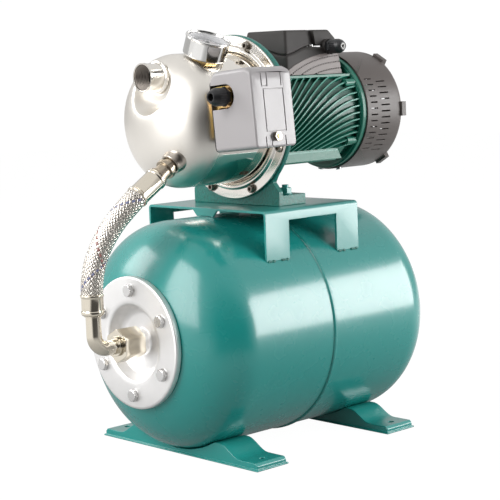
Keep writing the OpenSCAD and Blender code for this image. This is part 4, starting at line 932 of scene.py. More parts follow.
@dataclass
class Tank:
    """Pressure tank: two drawn shells, seam weld, flange, bolts and air valve."""

    bench: Bench
    ring: Repeater
    radius: float = 135.0
    front_len: float = 118.0
    rear_len: float = 136.0
    front_cap: float = 77.0
    rear_cap: float = 71.0
    roundness: float = 2.27
    wall: float = 1.6
    mouth_r: float = 46.0
    land_r: float = 74.0
    valve_r: float = 6.0
    seam: Pair = (5.0, 1.9)  # width and height of the weld
    flange_x: float = -194.1
    flange_r: float = 77.0
    bolt_r: float = 61.0
    steps: int = 40

    def cap(self, edge: float, way: int, depth: float, r_end: float, inset: float = 0.0) -> list[Pair]:
        """Profile of a drawn end, from the straight wall inwards.

        Args:
            edge: X where the straight wall ends.
            way: 1 for an end towards +X and -1 for one towards -X.
            depth: Depth of the whole end.
            r_end: Radius where the profile stops.
            inset: Distance inside the outer face.

        Returns:
            Its [x, r] points.
        """
        radius, depth, power = self.radius - inset, depth - inset, 2 / self.roundness
        last = math.acos((r_end / radius) ** (self.roundness / 2))
        return [(edge + way * depth * math.sin(a) ** power, radius * math.cos(a) ** power)
                for a in fan(last, self.steps)]

    def shell(self, end: str, profile: Profile) -> None:
        """Adds the front or the rear shell."""
        self.bench.turned(f"tank_{end}_shell", profile, Finishes.tank, 192, TANK_Z,
                          stands_for=f"tank_shell_{end}")

    def shells(self) -> None:
        """Front shell with its mouth behind the flange, and rear shell with the seam weld on its rim."""
        edge = -self.front_len
        outer = self.cap(edge, -1, self.front_cap, self.land_r)
        inner = self.cap(edge, -1, self.front_cap, self.land_r - self.wall, self.wall)
        land, rim = outer[-1][0], (0.0, self.radius - self.wall)
        straight = [(x, self.radius) for x in fan(edge, 6)[:-1]]
        mouth = [(land, self.mouth_r), (land + self.wall, self.mouth_r)]
        self.shell("front", [*straight, *outer, *mouth, *reversed(inner), rim])
        outer = self.cap(self.rear_len, 1, self.rear_cap, self.valve_r)
        inner = self.cap(self.rear_len, 1, self.rear_cap, self.valve_r, self.wall)
        width, lift = self.seam
        bead = [(width / 2 * (1 - math.cos(a)), self.radius + lift * math.sin(a)) for a in fan(math.pi, 8)]
        straight = [(width + x, self.radius) for x in fan(self.rear_len - width, 6)[1:-1]]
        self.shell("rear", [rim, *bead, *straight, *outer, *reversed(inner)])

    def flange(self) -> None:
        """Pressed flange with its step, recess and welded stub."""
        face, r = self.flange_x, self.flange_r
        recess, rim, stub = face + 19.0, face + 8.3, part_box("inlet_flange")[0].x / MM
        corners = [(rim, r), (face + 1.0, r), (face, r - 2.0), (face, 49.0), (face + 1.2, 44.5),
                   (recess - 5, 39.5), (recess - 1.0, 33.0), (recess - 1.5, 22.0), (recess - 2.5, 15.5),
                   (recess - 4.5, 14.0), (stub, 14.0), (stub, 10.6), (recess + 2.5, 10.6),
                   (recess + 2.5, 36.0), (face + 4.0, 47.0), (face + 4.0, r - 3.2), (rim, r - 2.5)]
        self.bench.turned("inlet_flange_pressing", rounded(corners, 3.0, 4), Finishes.zinc, 160, TANK_Z,
                          stands_for="inlet_flange", crease=40)

    def bolts(self) -> None:
        """Six flange bolts with washer faces."""
        head = bolt_head(6.5, 5.3)
        head.lathe([(0.0, 0.0), (0.0, 7.6), (-0.8, 7.6), (-0.8, 0.0)], loop=False, sides=32)
        mesh = self.ring.mesh("flange_bolts", head.mesh("bolt"), Finishes.bolt, 6, self.bolt_r,
                              origin=(self.flange_x, 0, TANK_Z))
        self.bench.add("flange_bolt_heads", mesh, Finishes.bolt, stands_for="flange_bolts", crease=25)

    def build(self) -> None:
        """Builds the whole tank."""
        self.shells()
        self.flange()
        self.bolts()
        for node in ("foot_front", "foot_rear"):
            self.bench.softened(node, Finishes.platform, 0.9, 3)
        self.bench.softened("air_valve", Finishes.brass, 0.3)
        self.bench.softened("air_valve_cap", Finishes.black, 0.4)
        self.bench.finished(tank_bladder=Finishes.rubber, air_valve_core=Finishes.steel)


@dataclass
class Platform:
    """Bent-sheet platform with its stitch welds."""

    bench: Bench
    row: Repeater
    half: float = 103.7
    leg_edges: tuple[Pair, ...] = ((-75.0, -37.0), (42.5, 80.5))
    weld: Pair = (3.0, 13.0)  # start and end from the leg's edge
    beads: int = 6

    def welds(self) -> None:
        """Two short rows of weld beads along the lower edge of each leg."""
        bead = Draft().lathe([(-2.1, 0.0), (-1.6, 1.3), (-0.5, 2.0), (0.7, 1.9), (1.7, 1.1), (2.1, 0.0)],
                             loop=False, sides=14).mesh("bead")
        near, far = self.weld
        foot_z = TANK_Z + math.sqrt((Tank.radius + 0.4) ** 2 - self.half ** 2)
        meshes = []
        for low, high in self.leg_edges:
            for side in (-1, 1):
                for a, b in ((low + near, low + far), (high - far, high - near)):
                    meshes.append(self.row.mesh(
                        "welds", bead, Finishes.cast, self.beads, start=20.0, step=37.0, jitter=0.35,
                        origin=(a, side * (self.half - 0.2), foot_z - 0.4),
                        shift=((b - a) / (self.beads - 1), 0, 0)))
        self.bench.add("platform_welds", joined("welds", meshes), Finishes.cast)

    def build(self) -> None:
        """Builds the platform."""
        self.bench.softened("pump_platform", Finishes.platform, 0.5, 2)
        self.welds()


@dataclass
class HoseLine:
    """Braided hose with its ferrules, elbow, union nut and nipple."""

    bench: Bench
    route: tuple[Point, ...] = (
        (-248, 0, 183), (-248, 0, 194), (-248, 0, 205), (-249, -2, 216), (-248.5, -4, 227), (-247, -6, 238),
        (-244.5, -9, 248.5), (-241, -12, 258.5), (-236.5, -15, 268.5), (-231, -18, 278), (-225, -21.5, 287),
        (-218, -25, 295.5), (-210.5, -28, 303.5), (-202, -30, 311), (-192, -29.8, 317.3),
        (-179, -29.6, 325.4))
    lower_mouth: int = 2
    upper_mouth: int = 13
    root: Point = (-147, -29, 345.5)
    radius: float = 12.5
    strands: int = 18
    slant: float = 1.15
    tracers: tuple[int, int] = (3, 115)  # red and blue strand; the second way counts from 100
    around: int = 216
    per_span: int = 22

    def braid(self) -> None:
        """Hose with its wire braid raised in the mesh, and painted shade stored where the strands cross."""
        path = smooth_path(self.route, self.per_span)
        steps = np.array([0.0] + [(b - a).length for a, b in zip(path, path[1:])])
        along = np.cumsum(steps)[:, None]
        turn = (2 * np.pi * np.arange(self.around) / self.around)[None, :]
        pitch = 2 * np.pi * self.radius / self.strands * self.slant
        first = self.strands * turn / (2 * np.pi) + along / pitch
        second = self.strands * turn / (2 * np.pi) - along / pitch
        over = np.where((np.floor(first) + np.floor(second)) % 2 == 0, 1.0, -1.0)
        lift_a, wire_a = self.bundle(first)
        lift_b, wire_b = self.bundle(second)
        top_a, top_b = lift_a * (0.62 + 0.38 * over), lift_b * (0.62 - 0.38 * over)
        height = np.maximum(top_a, top_b)
        # Painted shade: near 0 along the edges where one strand dives under the other, darkening the wire
        # there.
        edge = np.clip(np.abs(top_a - top_b) / 0.3, 0, 1)
        upper = top_a > top_b
        wire = np.where(upper, wire_a, wire_b)
        strand = np.where(upper, np.floor(first) % self.strands, np.floor(second) % self.strands + 100)
        tracer = sum(np.where(strand == code, share, 0.0) for code, share in zip(self.tracers, (0.5, 1.0)))
        knots = np.arange(len(path))[:, None] / self.per_span
        crimp = np.clip(self.lower_mouth - knots, 0, 1) + np.clip(knots - self.upper_mouth, 0, 1)
        reach = (self.radius - 0.8 + 0.8 * height - 1.5 * crimp)[:, :, None]
        centre, side, up = (np.array(part)[:, None, :] for part in zip(*carried_frames(path)))
        spots = centre + reach * (np.cos(turn)[:, :, None] * side + np.sin(turn)[:, :, None] * up)
        mesh = Draft().strip([[tuple(p) for p in ring] for ring in spots]).raw("braid")
        # The stored height carries the painted shade at the crossings; the mesh itself rises by the plain
        # height.
        for name, values in (("height", height * edge), ("wire", wire), ("tracer", tracer)):
            layer = mesh.attributes.new(name, "FLOAT", "POINT")
            layer.data.foreach_set("value", np.ascontiguousarray(values, dtype=np.float32).ravel())
        with edited(mesh) as work:
            bmesh.ops.recalc_face_normals(work, faces=work.faces)
        made = self.bench.add("hose_braid", mesh, Finishes.braid, stands_for="braided_hose", crease=80)

    @staticmethod
    def bundle(phase: np.ndarray) -> tuple[np.ndarray, np.ndarray]:
        """Height and wire lines of a flat bundle of five wires across its own phase."""
        across = phase - np.floor(phase) - 0.5
        return np.sqrt(np.clip(1 - (across / 0.43) ** 2, 0, 1)), 0.5 + 0.5 * np.cos(2 * np.pi * across * 5)

    def ferrule(self, end: str, point: Point, direction: Point, length: float) -> None:
        """Crimped ferrule from its hose end, with beads and a crimped waist."""
        corners = [(0.0, 7.0), (0.0, 12.9), (0.5, 13.5), (2.6, 13.5), (3.4, 12.6), (length - 5.5, 12.6),
                   (length - 4.6, 13.3), (length - 1.6, 13.3), (length, 12.0), (length, 7.0)]
        self.bench.turned(f"{end}_ferrule_crimp", rounded(corners, 0.8), Finishes.nickel,
                          place=aimed(point, direction), stands_for=f"{end}_ferrule", crease=40)

    def build(self) -> None:
        """Builds the hose, its ferrules, elbow, union nut and the nipple on the pump."""
        self.braid()
        end = Vector(self.route[self.upper_mouth])
        self.ferrule("lower", self.route[self.lower_mouth], (0, 0, -1), 23.5)
        self.ferrule("upper", end, (Vector(self.root) - end).normalized(), 37.0)
        self.bench.softened("hose_elbow", Finishes.nickel, 0.4, 2)
        self.bench.softened("hose_nipple", Finishes.nipple, 0.4, 2)
        self.bench.softened("union_nut", Finishes.nickel, 0.6, 3)


@dataclass
class PumpEnd:
    """Drawn casing, clamp ring, screws and ports."""

    bench: Bench
    ring: Repeater
    radius: float = 78.0
    dome: float = 50.0
    barrel_x: float = -110.5
    lip_x: float = -25.5
    ring_r: float = 97.7
    ring_wall: float = 3.0
    seat_x: float = -137.5
    port_z: float = 443.0
    pocket_z: float = 436.0
    pocket_r: float = 21.0
    flat_r: float = 20.0
    mouth_r: float = 15.5
    flange: Point = (-24.0, 96.0, 3.0)  # rear x, radius, root
    barrel: float = 82.0
    blend: float = 2.5
    wall: float = 1.5
    sides: int = 288
    steps: int = 110

    def pocket(self, y: float, z: float) -> float:
        """X of the pocket pressed round the suction port, at a place on the dome."""
        d = math.hypot(y, z - self.pocket_z)
        if math.hypot(y, z - self.port_z) < self.flat_r and d < self.pocket_r + 3.0:
            return self.seat_x
        return self.seat_x - 1.0 - 19.0 * (max(0.0, d - self.pocket_r) / 14.0) ** 1.7

    def pressed(self, x: float, r: float, a: float) -> Point:
        """Point of the casing at an angle, pushed in where the pocket is."""
        y, z = -r * math.sin(a), SHAFT_Z + r * math.cos(a)
        gap = self.pocket(y, z) - x
        push = 0.5 * (gap + math.sqrt(gap * gap + self.blend * self.blend)) if x < self.barrel_x else 0.0
        fade = clamped((self.barrel_x - x) / 6.0)
        near = clamped((52.0 - math.hypot(y, z - self.pocket_z)) / 12.0)
        return x + push * fade * near, y, z

    def skin(self) -> None:
        """Casing as one drawn sheet, open at the suction port."""
        wall_x = self.lip_x - self.ring_wall
        rear_x, flange_r, foot = self.flange
        profile = [(rear_x, flange_r), (self.lip_x, flange_r), (self.lip_x, self.radius + foot),
                   (self.lip_x - 0.9, self.radius + 0.9), (wall_x, self.radius)]
        profile += [(wall_x - x, self.radius) for x in fan(self.barrel, 10)[1:]]
        profile += [(self.barrel_x - self.dome * math.sin(a), self.radius * math.cos(a))
                    for a in fan(math.pi / 2, self.steps)[1:-1]]
        draft = Draft().strip([[self.pressed(x, r, a) for a in fan(2 * math.pi, self.sides)[:-1]]
                               for x, r in profile])
        *quads, _, end = draft.faces

        def solid(face: tuple[int, ...]) -> bool:
            """Whether a face is outside the suction port."""
            corner = Vector(draft.points[face[0]])
            return math.hypot(corner.y, corner.z - self.port_z) >= self.mouth_r or corner.x >= self.barrel_x

        draft.faces = [*filter(solid, quads), end]
        made = self.bench.add("pump_casing_shell", draft.mesh("casing"), Finishes.casing,
                              stands_for="pump_casing", crease=50)
        thickened(made, self.wall)

    def clamp_ring(self) -> None:
        """Polished ring with its rolled inner bead, and its screws."""
        ring_x = self.lip_x - self.ring_wall
        step, inner = 86.0, 81.4
        corners = [(self.lip_x, inner), (self.lip_x, self.ring_r), (ring_x, self.ring_r),
                   (ring_x, step + 0.5), (ring_x - 3.5, step - 1.0), (ring_x - 3.5, inner)]
        self.bench.turned("clamp_ring_polished", rounded(corners, 1.3, 4), Finishes.stainless, 192, SHAFT_Z,
                          stands_for="clamp_ring", crease=45)
        head = socket_screw(4.5, 5.0)
        head.lathe([(0.0, 0.0), (0.0, 5.6), (-0.7, 5.6), (-0.7, 0.0)], loop=False, sides=32)
        screws = self.ring.mesh("ring_screws", head.mesh("socket"), Finishes.screw, 8, 91.5, start=22.5,
                                origin=(ring_x, 0, SHAFT_Z))
        self.bench.add("ring_screw_heads", screws, Finishes.screw, stands_for="casing_screws", crease=30)

    def suction(self) -> None:
        """Port stub with its collar, and its inner thread in a darker copy of the stainless as painted shade
        inside the bore.
        """
        seat, low, bore, outer = self.seat_x, self.seat_x - 24.0, 14.0, 16.6
        body = rounded([(seat, bore), (seat, 19.0), (seat - 3.0, 19.0), (seat - 3.6, 16.0),
                        (low + 4.5, 16.0), (low + 4.0, outer), (low, outer)], 0.7, 3, False)
        mouth = rounded([(low, outer), (low, bore + 1.0), (low + 1.2, bore + 0.8)], 0.4, 2, False)
        self.bench.turned("suction_stub_turned", [*body, *mouth, (seat - 2.0, bore + 0.8)],
                          Finishes.stainless, axis_z=self.port_z, stands_for="suction_stub", crease=45)
        thread = []
        x = low + 1.5
        while x < seat - 4.0:
            thread += [(x, bore + 0.7), (x + 0.6, bore - 0.1), (x + 1.1, bore - 0.1), (x + 1.7, bore + 0.7)]
            x += 2.3
        thread += [(seat - 2.2, bore + 0.7), (seat - 2.2, bore + 0.78), (low + 1.3, bore + 0.78)]
        self.bench.turned("suction_thread", thread, Finishes.thread, axis_z=self.port_z, crease=45)

    def nipple_boss(self) -> None:
        """Flared boss where the hose nipple enters the casing."""
        root, mouth = Vector(HoseLine.root), Vector(HoseLine.route[HoseLine.upper_mouth])
        corners = [(-4.0, 9.6), (-4.0, 12.6), (-1.0, 13.0), (4.0, 14.5), (8.0, 18.0), (12.0, 24.0),
                   (14.0, 9.6)]
        self.bench.turned("nipple_boss", rounded(corners, 1.5), Finishes.boss, 64,
                          place=aimed(root, (root - mouth).normalized()), crease=45)

    def build(self) -> None:
        """Builds the pump end and dresses what it holds."""
        self.skin()
        self.clamp_ring()
        self.suction()
        self.nipple_boss()
        self.bench.softened("discharge_stub", Finishes.stainless, 0.5)
        black, rubber = Finishes.black, Finishes.rubber
        self.bench.finished(casing_seal=rubber, seal_plate=Finishes.stainless, ejector=black,
                            diffuser=black, impeller=Finishes.brass, impeller_nut=Finishes.steel,
                            shaft_seal_rotating=rubber, shaft_seal_seat=Finishes.ceramic)


@dataclass
class TerminalBox:
    """Terminal box with its curved lid seam, ribs, screw recesses and gland."""

    bench: Bench
    front: float = 26.0
    rear: float = 124.0
    half: float = 45.0
    seat: float = 438.0
    full: float = 55.0
    draft: float = 12.0
    lean: float = 9.7
    turn: float = 44.0
    slope: float = 10.0
    corner: float = 4.0
    recess: Pair = (73.5, 85.5)  # from x to x
    recess_foot: float = 34.0
    recess_depth: float = 5.0
    gap: float = 0.3
    skin: float = 2.2
    rib_lift: float = 0.9
    rib_gap: float = 0.65
    ribs: tuple[tuple[Pair, ...], ...] = (
        ((28.0, 6.0), (42.0, 12.5), (58.0, 18.0), (74.0, 22.2), (90.0, 25.0), (106.0, 26.4), (123.0, 27.0)),
        ((31.0, 0.2), (45.0, 7.0), (60.0, 12.6), (75.0, 16.7), (90.0, 19.8), (106.0, 21.8), (123.0, 23.0)),
        ((46.0, -1.4), (56.0, 3.2), (67.0, 7.2), (78.0, 10.3), (90.0, 12.7), (106.0, 14.6), (123.0, 15.6)),
        ((68.0, -1.0), (76.0, 1.5), (84.0, 3.4), (93.0, 5.0), (102.0, 6.2), (112.0, 7.0), (123.0, 7.4)))

    def half_at(self, h: float) -> float:
        """Half of the width at height h above the seat."""
        return self.half - self.draft * h / self.full

    def seam(self, x: float, y: float) -> float:
        """Height of the lid's seam at a place on the wall."""
        side = 24.5 + 11.1 * smooth_step((x - 26.0) / 50.0)
        middle = 24.5 + 7.0 * (1.0 - smooth_step(abs(y) / 37.0))
        return max(side, middle)

    def outline(self, h: float, inset: float = 0.0) -> list[Pair]:
        """Rounded outline at height h, with the recesses pressed in above the seam."""
        x0 = self.front + self.lean * h / self.full + inset
        over = max(0.0, h - self.turn) / (self.full - self.turn)
        x1 = self.rear - self.slope * over - inset
        half = self.half_at(h) - inset
        c = self.corner
        a, b = self.recess
        along = [x0 + c + x for x in fan(46.0 - x0 - c, 8)]
        along += [50.0 + x for x in fan(20.0, 5)] + [a - 0.1, a + 0.1, (a + b) / 2, b - 0.1, b + 0.1]
        along += [90.0 + x for x in fan(8.0, 2)] + [102.0 + x for x in fan(x1 - c - 102.0, 6)]
        deep = self.recess_depth if h > self.recess_foot else 0.0
        turns = fan(math.pi / 2, 6)[1:-1]
        near = [(x, -half + (deep if a < x < b else 0.0)) for x in along]
        back = [(x1, (half - c) * (i / 6 - 1)) for i in range(13)]
        low_back = [(x1 - c + c * math.sin(t), -half + c - c * math.cos(t)) for t in turns]
        high_fore = [(x0 + c - c * math.sin(t), half - c + c * math.cos(t)) for t in turns]
        far, high_back, low_fore = ([(x, -y) for x, y in reversed(part)]
                                    for part in (near, low_back, high_fore))
        fore = [(x0, -y) for _, y in back]
        return [*near, *low_back, *back, *high_back, *far, *high_fore, *fore, *low_fore]

    def wall(self, low: Callable[[float, float], float], high: Callable[[float, float], float],
             rows: int) -> list[list[Point]]:
        """Rings between two heights that vary round the wall.

        Args:
            low: Lower height for a place on the wall.
            high: Upper height for a place on the wall.
            rows: Number of steps between them.

        Returns:
            The rings, from the lower height up.
        """
        rings = []
        for i in range(rows + 1):
            ring = []
            for k, (x, y) in enumerate(self.outline(30.0)):
                h = low(x, y) + (high(x, y) - low(x, y)) * i / rows
                ring.append((*self.outline(h)[k], self.seat + h))
            rings.append(ring)
        return rings

    def lid_foot(self, x: float, y: float) -> float:
        """Lower edge of the lid, which clears the foot of each recess."""
        a, b = self.recess
        return max(self.seam(x, y) + self.gap, self.recess_foot + 0.1 if a - 3 < x < b + 3 else 0.0)

    def shells(self) -> None:
        """Box and lid as two thin shells that meet at the seam."""
        floor = self.wall(lambda x, y: 0.1,
                          lambda x, y: min(self.seam(x, y) - self.gap, self.recess_foot - 0.1), 8)
        box = Draft().strip(floor, caps=False)
        box.faces.append(tuple(reversed(range(len(floor[0])))))
        rings = self.wall(self.lid_foot, lambda x, y: self.full - 1.5, 10)
        for h, inset in ((self.full - 0.6, 0.35), (self.full - 0.1, 1.0), (self.full, 1.8)):
            rings.append([(x, y, self.seat + h) for x, y in self.outline(h, inset)])
        lid = Draft().strip(rings, caps=False)
        lid.faces.append(tuple(len(lid.points) - len(rings[0]) + k for k in range(len(rings[0]))))
        for node, draft in (("terminal_box", box), ("terminal_lid", lid)):
            made = self.bench.add(f"{node}_shell", draft.mesh(node), Finishes.box, stands_for=node, crease=38)
            thickened(made, self.skin)

    def recess_floors(self) -> None:
        """Posts that fill the foot of each recess, with the lid's screws on them."""
        a, b = self.recess
        half, foot, top = self.half_at(self.recess_foot), self.seat + 24.0, self.seat + 34.3
        profile = rounded([(0.0, 0.0), (0.0, 3.4), (1.6, 3.4), (2.2, 2.4), (2.2, 0.0)], 0.5, 2, False)
        posts, heads = Draft(), Draft()
        for side in (-1, 1):
            y0, y1 = sorted((side * (half - 0.15), side * (half - 9.0)))
            posts.block((a - 1.0, y0, foot), (b + 1.0, y1, top))
            spot = ((a + b) / 2, side * (half - 3.4), top)
            heads.also(Draft().lathe(profile, loop=False, sides=32).moved(aimed(spot, (0, 0, 1))))
        self.bench.add("recess_posts", posts.mesh("posts"), Finishes.box, bevel=0.3)
        self.bench.add("lid_screw_heads", heads.mesh("heads"), Finishes.gauge, crease=40)

    def rib_height(self, rib: int, x: float) -> float:
        """Height of a rib line at x."""
        return float(np.interp(x, *zip(*self.ribs[rib])))

    def ribbing(self) -> None:
        """Raised ribbed panels low on each side, parted by dashed grooves, in a lighter copy of the box's
        plastic as painted light.
        """
        panel = Draft()
        start, rise, last = self.front + 3.0, self.rib_lift, len(self.ribs) - 1
        for side in (-1, 1):
            for rib, line in enumerate(self.ribs):
                rings = []
                for x in (start + step for step in fan(self.rear - self.front - 5.0, 60)):
                    top = self.rib_height(rib, x) - (self.rib_gap if rib else 0.0)
                    low = max(self.rib_height(rib + 1, x) + self.rib_gap if rib < last else 0.5, 0.5)
                    if top - low > 0.6 and x >= line[0][0]:
                        rings.append([(x, side * (self.half_at(h) + out), self.seat + h)
                                      for h, out in ((low, -0.3), (low, rise - 0.25), (low + 0.25, rise),
                                                     (top - 0.25, rise), (top, rise - 0.25), (top, -0.3))])
                panel.strip(rings)
            for rib in range(1, last + 1):
                x = self.ribs[rib][0][0] + 4.0
                while x < self.rear - 4.0:
                    h = self.rib_height(rib, x)
                    if h > 1.5:
                        y = side * self.half_at(h)
                        y0, y1 = sorted((y - side * 0.3, y + side * (rise - 0.1)))
                        panel.block((x, y0, self.seat + h - 1.0), (x + 1.3, y1, self.seat + h + 1.0))
                    x += 3.1
        self.bench.add("terminal_ribs", panel.mesh("ribs"), Finishes.ribs, crease=30)

    def build(self) -> None:
        """Builds the terminal box and its gland."""
        self.shells()
        self.recess_floors()
        self.ribbing()
        place = aimed((106.0, -41.6, 472.0), (0, -1, 0), (1, 0, 0))
        gland = Gland()
        self.bench.add("terminal_gland_nut", gland.nut().moved(place).mesh("gland"), Finishes.black,
                       stands_for="terminal_gland", crease=40)
        self.bench.turned("terminal_gland_seal", gland.seal(), Finishes.seal, 48, place=place, crease=40)
        boss = rounded([(-8.0, 6.3), (-8.0, 9.6), (-0.2, 9.6), (-0.2, 6.3)], 0.6, 2)
        self.bench.turned("gland_boss", boss, Finishes.box, 64, place=place, crease=40)


@dataclass
class Motor:
    """Bracket, finned housing with its foot rails, and fan end."""

    bench: Bench
    rail: tuple[Pair, ...] = ((-49.6, -44.2), (-50.6, -43.4), (-50.6, -57.4), (-37.4, -57.4))
    rail_span: Pair = (4.0, 112.0)
    rail_cut: float = 8.0

    def rails(self) -> None:
        """Upright faces along the two foot rails, cut back above at the fan end."""
        draft = Draft()
        for side in (1, -1):
            draft.strip([[(x - (self.rail_cut if x == self.rail_span[1] and z > -50.0 else 0.0),
                           side * y, SHAFT_Z + z) for y, z in self.rail] for x in self.rail_span])
        self.bench.add("motor_foot_rails", draft.mesh("rails"), Finishes.motor, bevel=0.5)

    def build(self) -> None:
        """Builds the rails and dresses the motor's nodes."""
        self.rails()
        soft = self.bench.softened
        soft("motor_bracket", Finishes.cast, 0.9, 3)
        soft("bracket_bolts", Finishes.platform, 0.4)
        soft("motor_housing", Finishes.motor, 0.3, 2, 25.0)
        soft("rear_shield", Finishes.motor, 0.6, 2)
        soft("shield_screws", Finishes.steel, 0.3)
        soft("fan_cover", Finishes.cover, 0.25, 2)
        soft("cover_screws", Finishes.steel, 0.3)
        soft("cooling_fan", Finishes.black, 0.3)
        steel, core = Finishes.steel, Finishes.core
        self.bench.finished(stator_core=core, stator_windings=Finishes.copper, rotor_core=core,
                            rotor_shaft=steel, bearing_outer_rings=steel, bearing_inner_rings=steel,
                            bearing_balls=steel, wave_spring=steel, capacitor=Finishes.capacitor)


@dataclass
class Switch:
    """Pressure switch on the near side, drawn with X towards the pump's front, Y outwards and Z up."""

    bench: Bench
    centre_x: float = -101.0
    tilt: float = 5.0
    half: float = 31.0
    low: float = -41.5
    high: float = 47.5
    lip: float = 85.5
    face: float = 151.0
    top_r: float = 10.0
    corner: float = 5.0
    edge: float = 2.4
    notch: Point = (108.5, 19.0, 13.6)  # y, z and radius
    gland: Point = (29.5, 107.5, 19.0)
    groove: float = 1.3
    # Each run in z with the places in x that it is cut at, then each bar from x to x with its z.
    grooves: tuple[tuple[Pair, tuple[float, ...]], ...] = (
        ((25.5, 41.0), (15.5, 7.0, -14.4)), ((-24.5, 22.5), (13.4, -16.3)),
        ((-42.0, -29.5), (15.5, 7.0, -14.4)))
    bars: tuple[Point, ...] = ((-16.9, 14.0, 22.0), (-16.9, 14.0, -24.5), (6.5, 15.6, 25.6))

    @property
    def place(self) -> Matrix:
        """Matrix from the switch's own axes to the row frame, in millimetres."""
        a = math.radians(self.tilt)
        matrix = Matrix(((-1, 0, 0, 0), (0, -math.cos(a), math.sin(a), 0), (0, math.sin(a), math.cos(a), 0),
                         (0, 0, 0, 1)))
        matrix.translation = Vector((self.centre_x, 0, SHAFT_Z))
        return matrix

    def ring_at(self, y: float, inset: float, top: float) -> list[Point]:
        """Outline of the cover at depth y."""
        half, low = self.half - inset, self.low + inset
        r = max(self.corner - inset, 1.2)
        points = []
        for cx, cz, start in ((1, 1, 0), (-1, 1, 90), (-1, -1, 180), (1, -1, 270)):
            x = cx * (half - r)
            z = top - r if cz > 0 else low + r
            for a in (math.radians(start + turn) for turn in fan(90, 8)):
                points.append((x + r * math.cos(a), y, z + r * math.sin(a)))
        return points

    def cover_block(self) -> Draft:
        """Moulded cover with a rolled top and soft front edges."""
        r, front = self.top_r, self.face - self.edge
        rolled, flat = self.lip + r, self.face - r
        depths = [self.lip + r * (1 - math.cos(a)) for a in fan(math.pi / 2, 10)]
        depths += [rolled + y for y in fan(self.face - self.edge - self.lip - r, 8)[1:]]
        rings = []
        for y in depths:
            drop = sum(r - math.sqrt(max(r ** 2 - max(0.0, past) ** 2, 0.0))
                       for past in (rolled - y, y - flat))
            rings.append(self.ring_at(y, 0.0, self.high - min(drop, r * 0.93)))
        for a in fan(math.pi / 2, 6)[1:]:
            y = front + self.edge * math.sin(a)
            inset = self.edge * (1 - math.cos(a))
            fore = min(y - flat, r * 0.98)
            drop = r - math.sqrt(r ** 2 - fore * fore)
            rings.append(self.ring_at(y, inset, self.high - drop - inset * 0.2))
        return Draft().strip(rings)

    def knife(self) -> Draft:
        """What is cut into the cover: the grooves and bars of its face and the gland notches."""
        knife = Draft()
        half = self.groove / 2
        for (z0, z1), places in self.grooves:
            for x in places:
                knife.block((x - half, self.face - 1.0, z0), (x + half, self.face + 3.0, z1))
        for x0, x1, z in self.bars:
            knife.block((x0, self.face - 0.7, z), (x1, self.face + 3.0, z + 0.8))
        y, z, r = self.notch
        bow = [(y + r * math.sin(a), z - r * math.cos(a)) for a in fan(math.pi, 20)[1:-1]]
        notch = [(y - 30.0, z - r), (y, z - r), *bow, (y, z + r), (y - 30.0, z + r)]
        for side in (-1, 1):
            span = sorted((side * (self.half - 6.0), side * (self.half + 6.0)))
            knife.strip([[(x, *p) for p in notch] for x in span])
        return knife

    def cover(self) -> None:
        """Hollow cover with its grooves and notches, and the seal behind its rim."""
        hollow = Draft().block((3.0 - self.half, self.lip - 5.0, self.low + 3.0),
                               (self.half - 3.0, self.face - 4.0, self.high - 12.0))
        body = carved(self.cover_block().mesh("cover"), cleaned(self.knife().mesh("knife")))
        mesh = turned_mesh(carved(body, hollow.mesh("hollow")), self.place)
        self.bench.add("switch_cover_moulding", mesh, Finishes.switch, stands_for="switch_cover",
                       bevel=0.2, crease=38)
        rim = Draft().strip([self.ring_at(self.lip - d, -out, self.high - self.top_r + 0.7 + out)
                             for d, out in ((0.1, 0.15), (1.1, 0.15))])
        self.bench.add("switch_rim_seal", rim.moved(self.place).mesh("rim"), Finishes.rubber, crease=40)

    def glands(self) -> None:
        """Cable glands at the front and rear of the switch."""
        x, y, z = self.gland
        nut = Gland(radius=10.2, bore=4.2, neck=7.0).nut
        nuts = [nut().moved(aimed(self.place @ Vector((side * x, y, z)), (-side, 0, 0))).mesh("nut")
                for side in (-1, 1)]
        self.bench.add("switch_gland_nuts", joined("nuts", nuts), Finishes.black, stands_for="switch_glands",
                       crease=40)

    def build(self) -> None:
        """Builds the switch."""
        self.cover()
        self.glands()
        for node, finish in (("base", Finishes.chromate), ("cover_nut", Finishes.screw),
                             ("lever", Finishes.chromate), ("plunger", Finishes.steel)):
            self.bench.softened(f"switch_{node}", finish, 0.3)


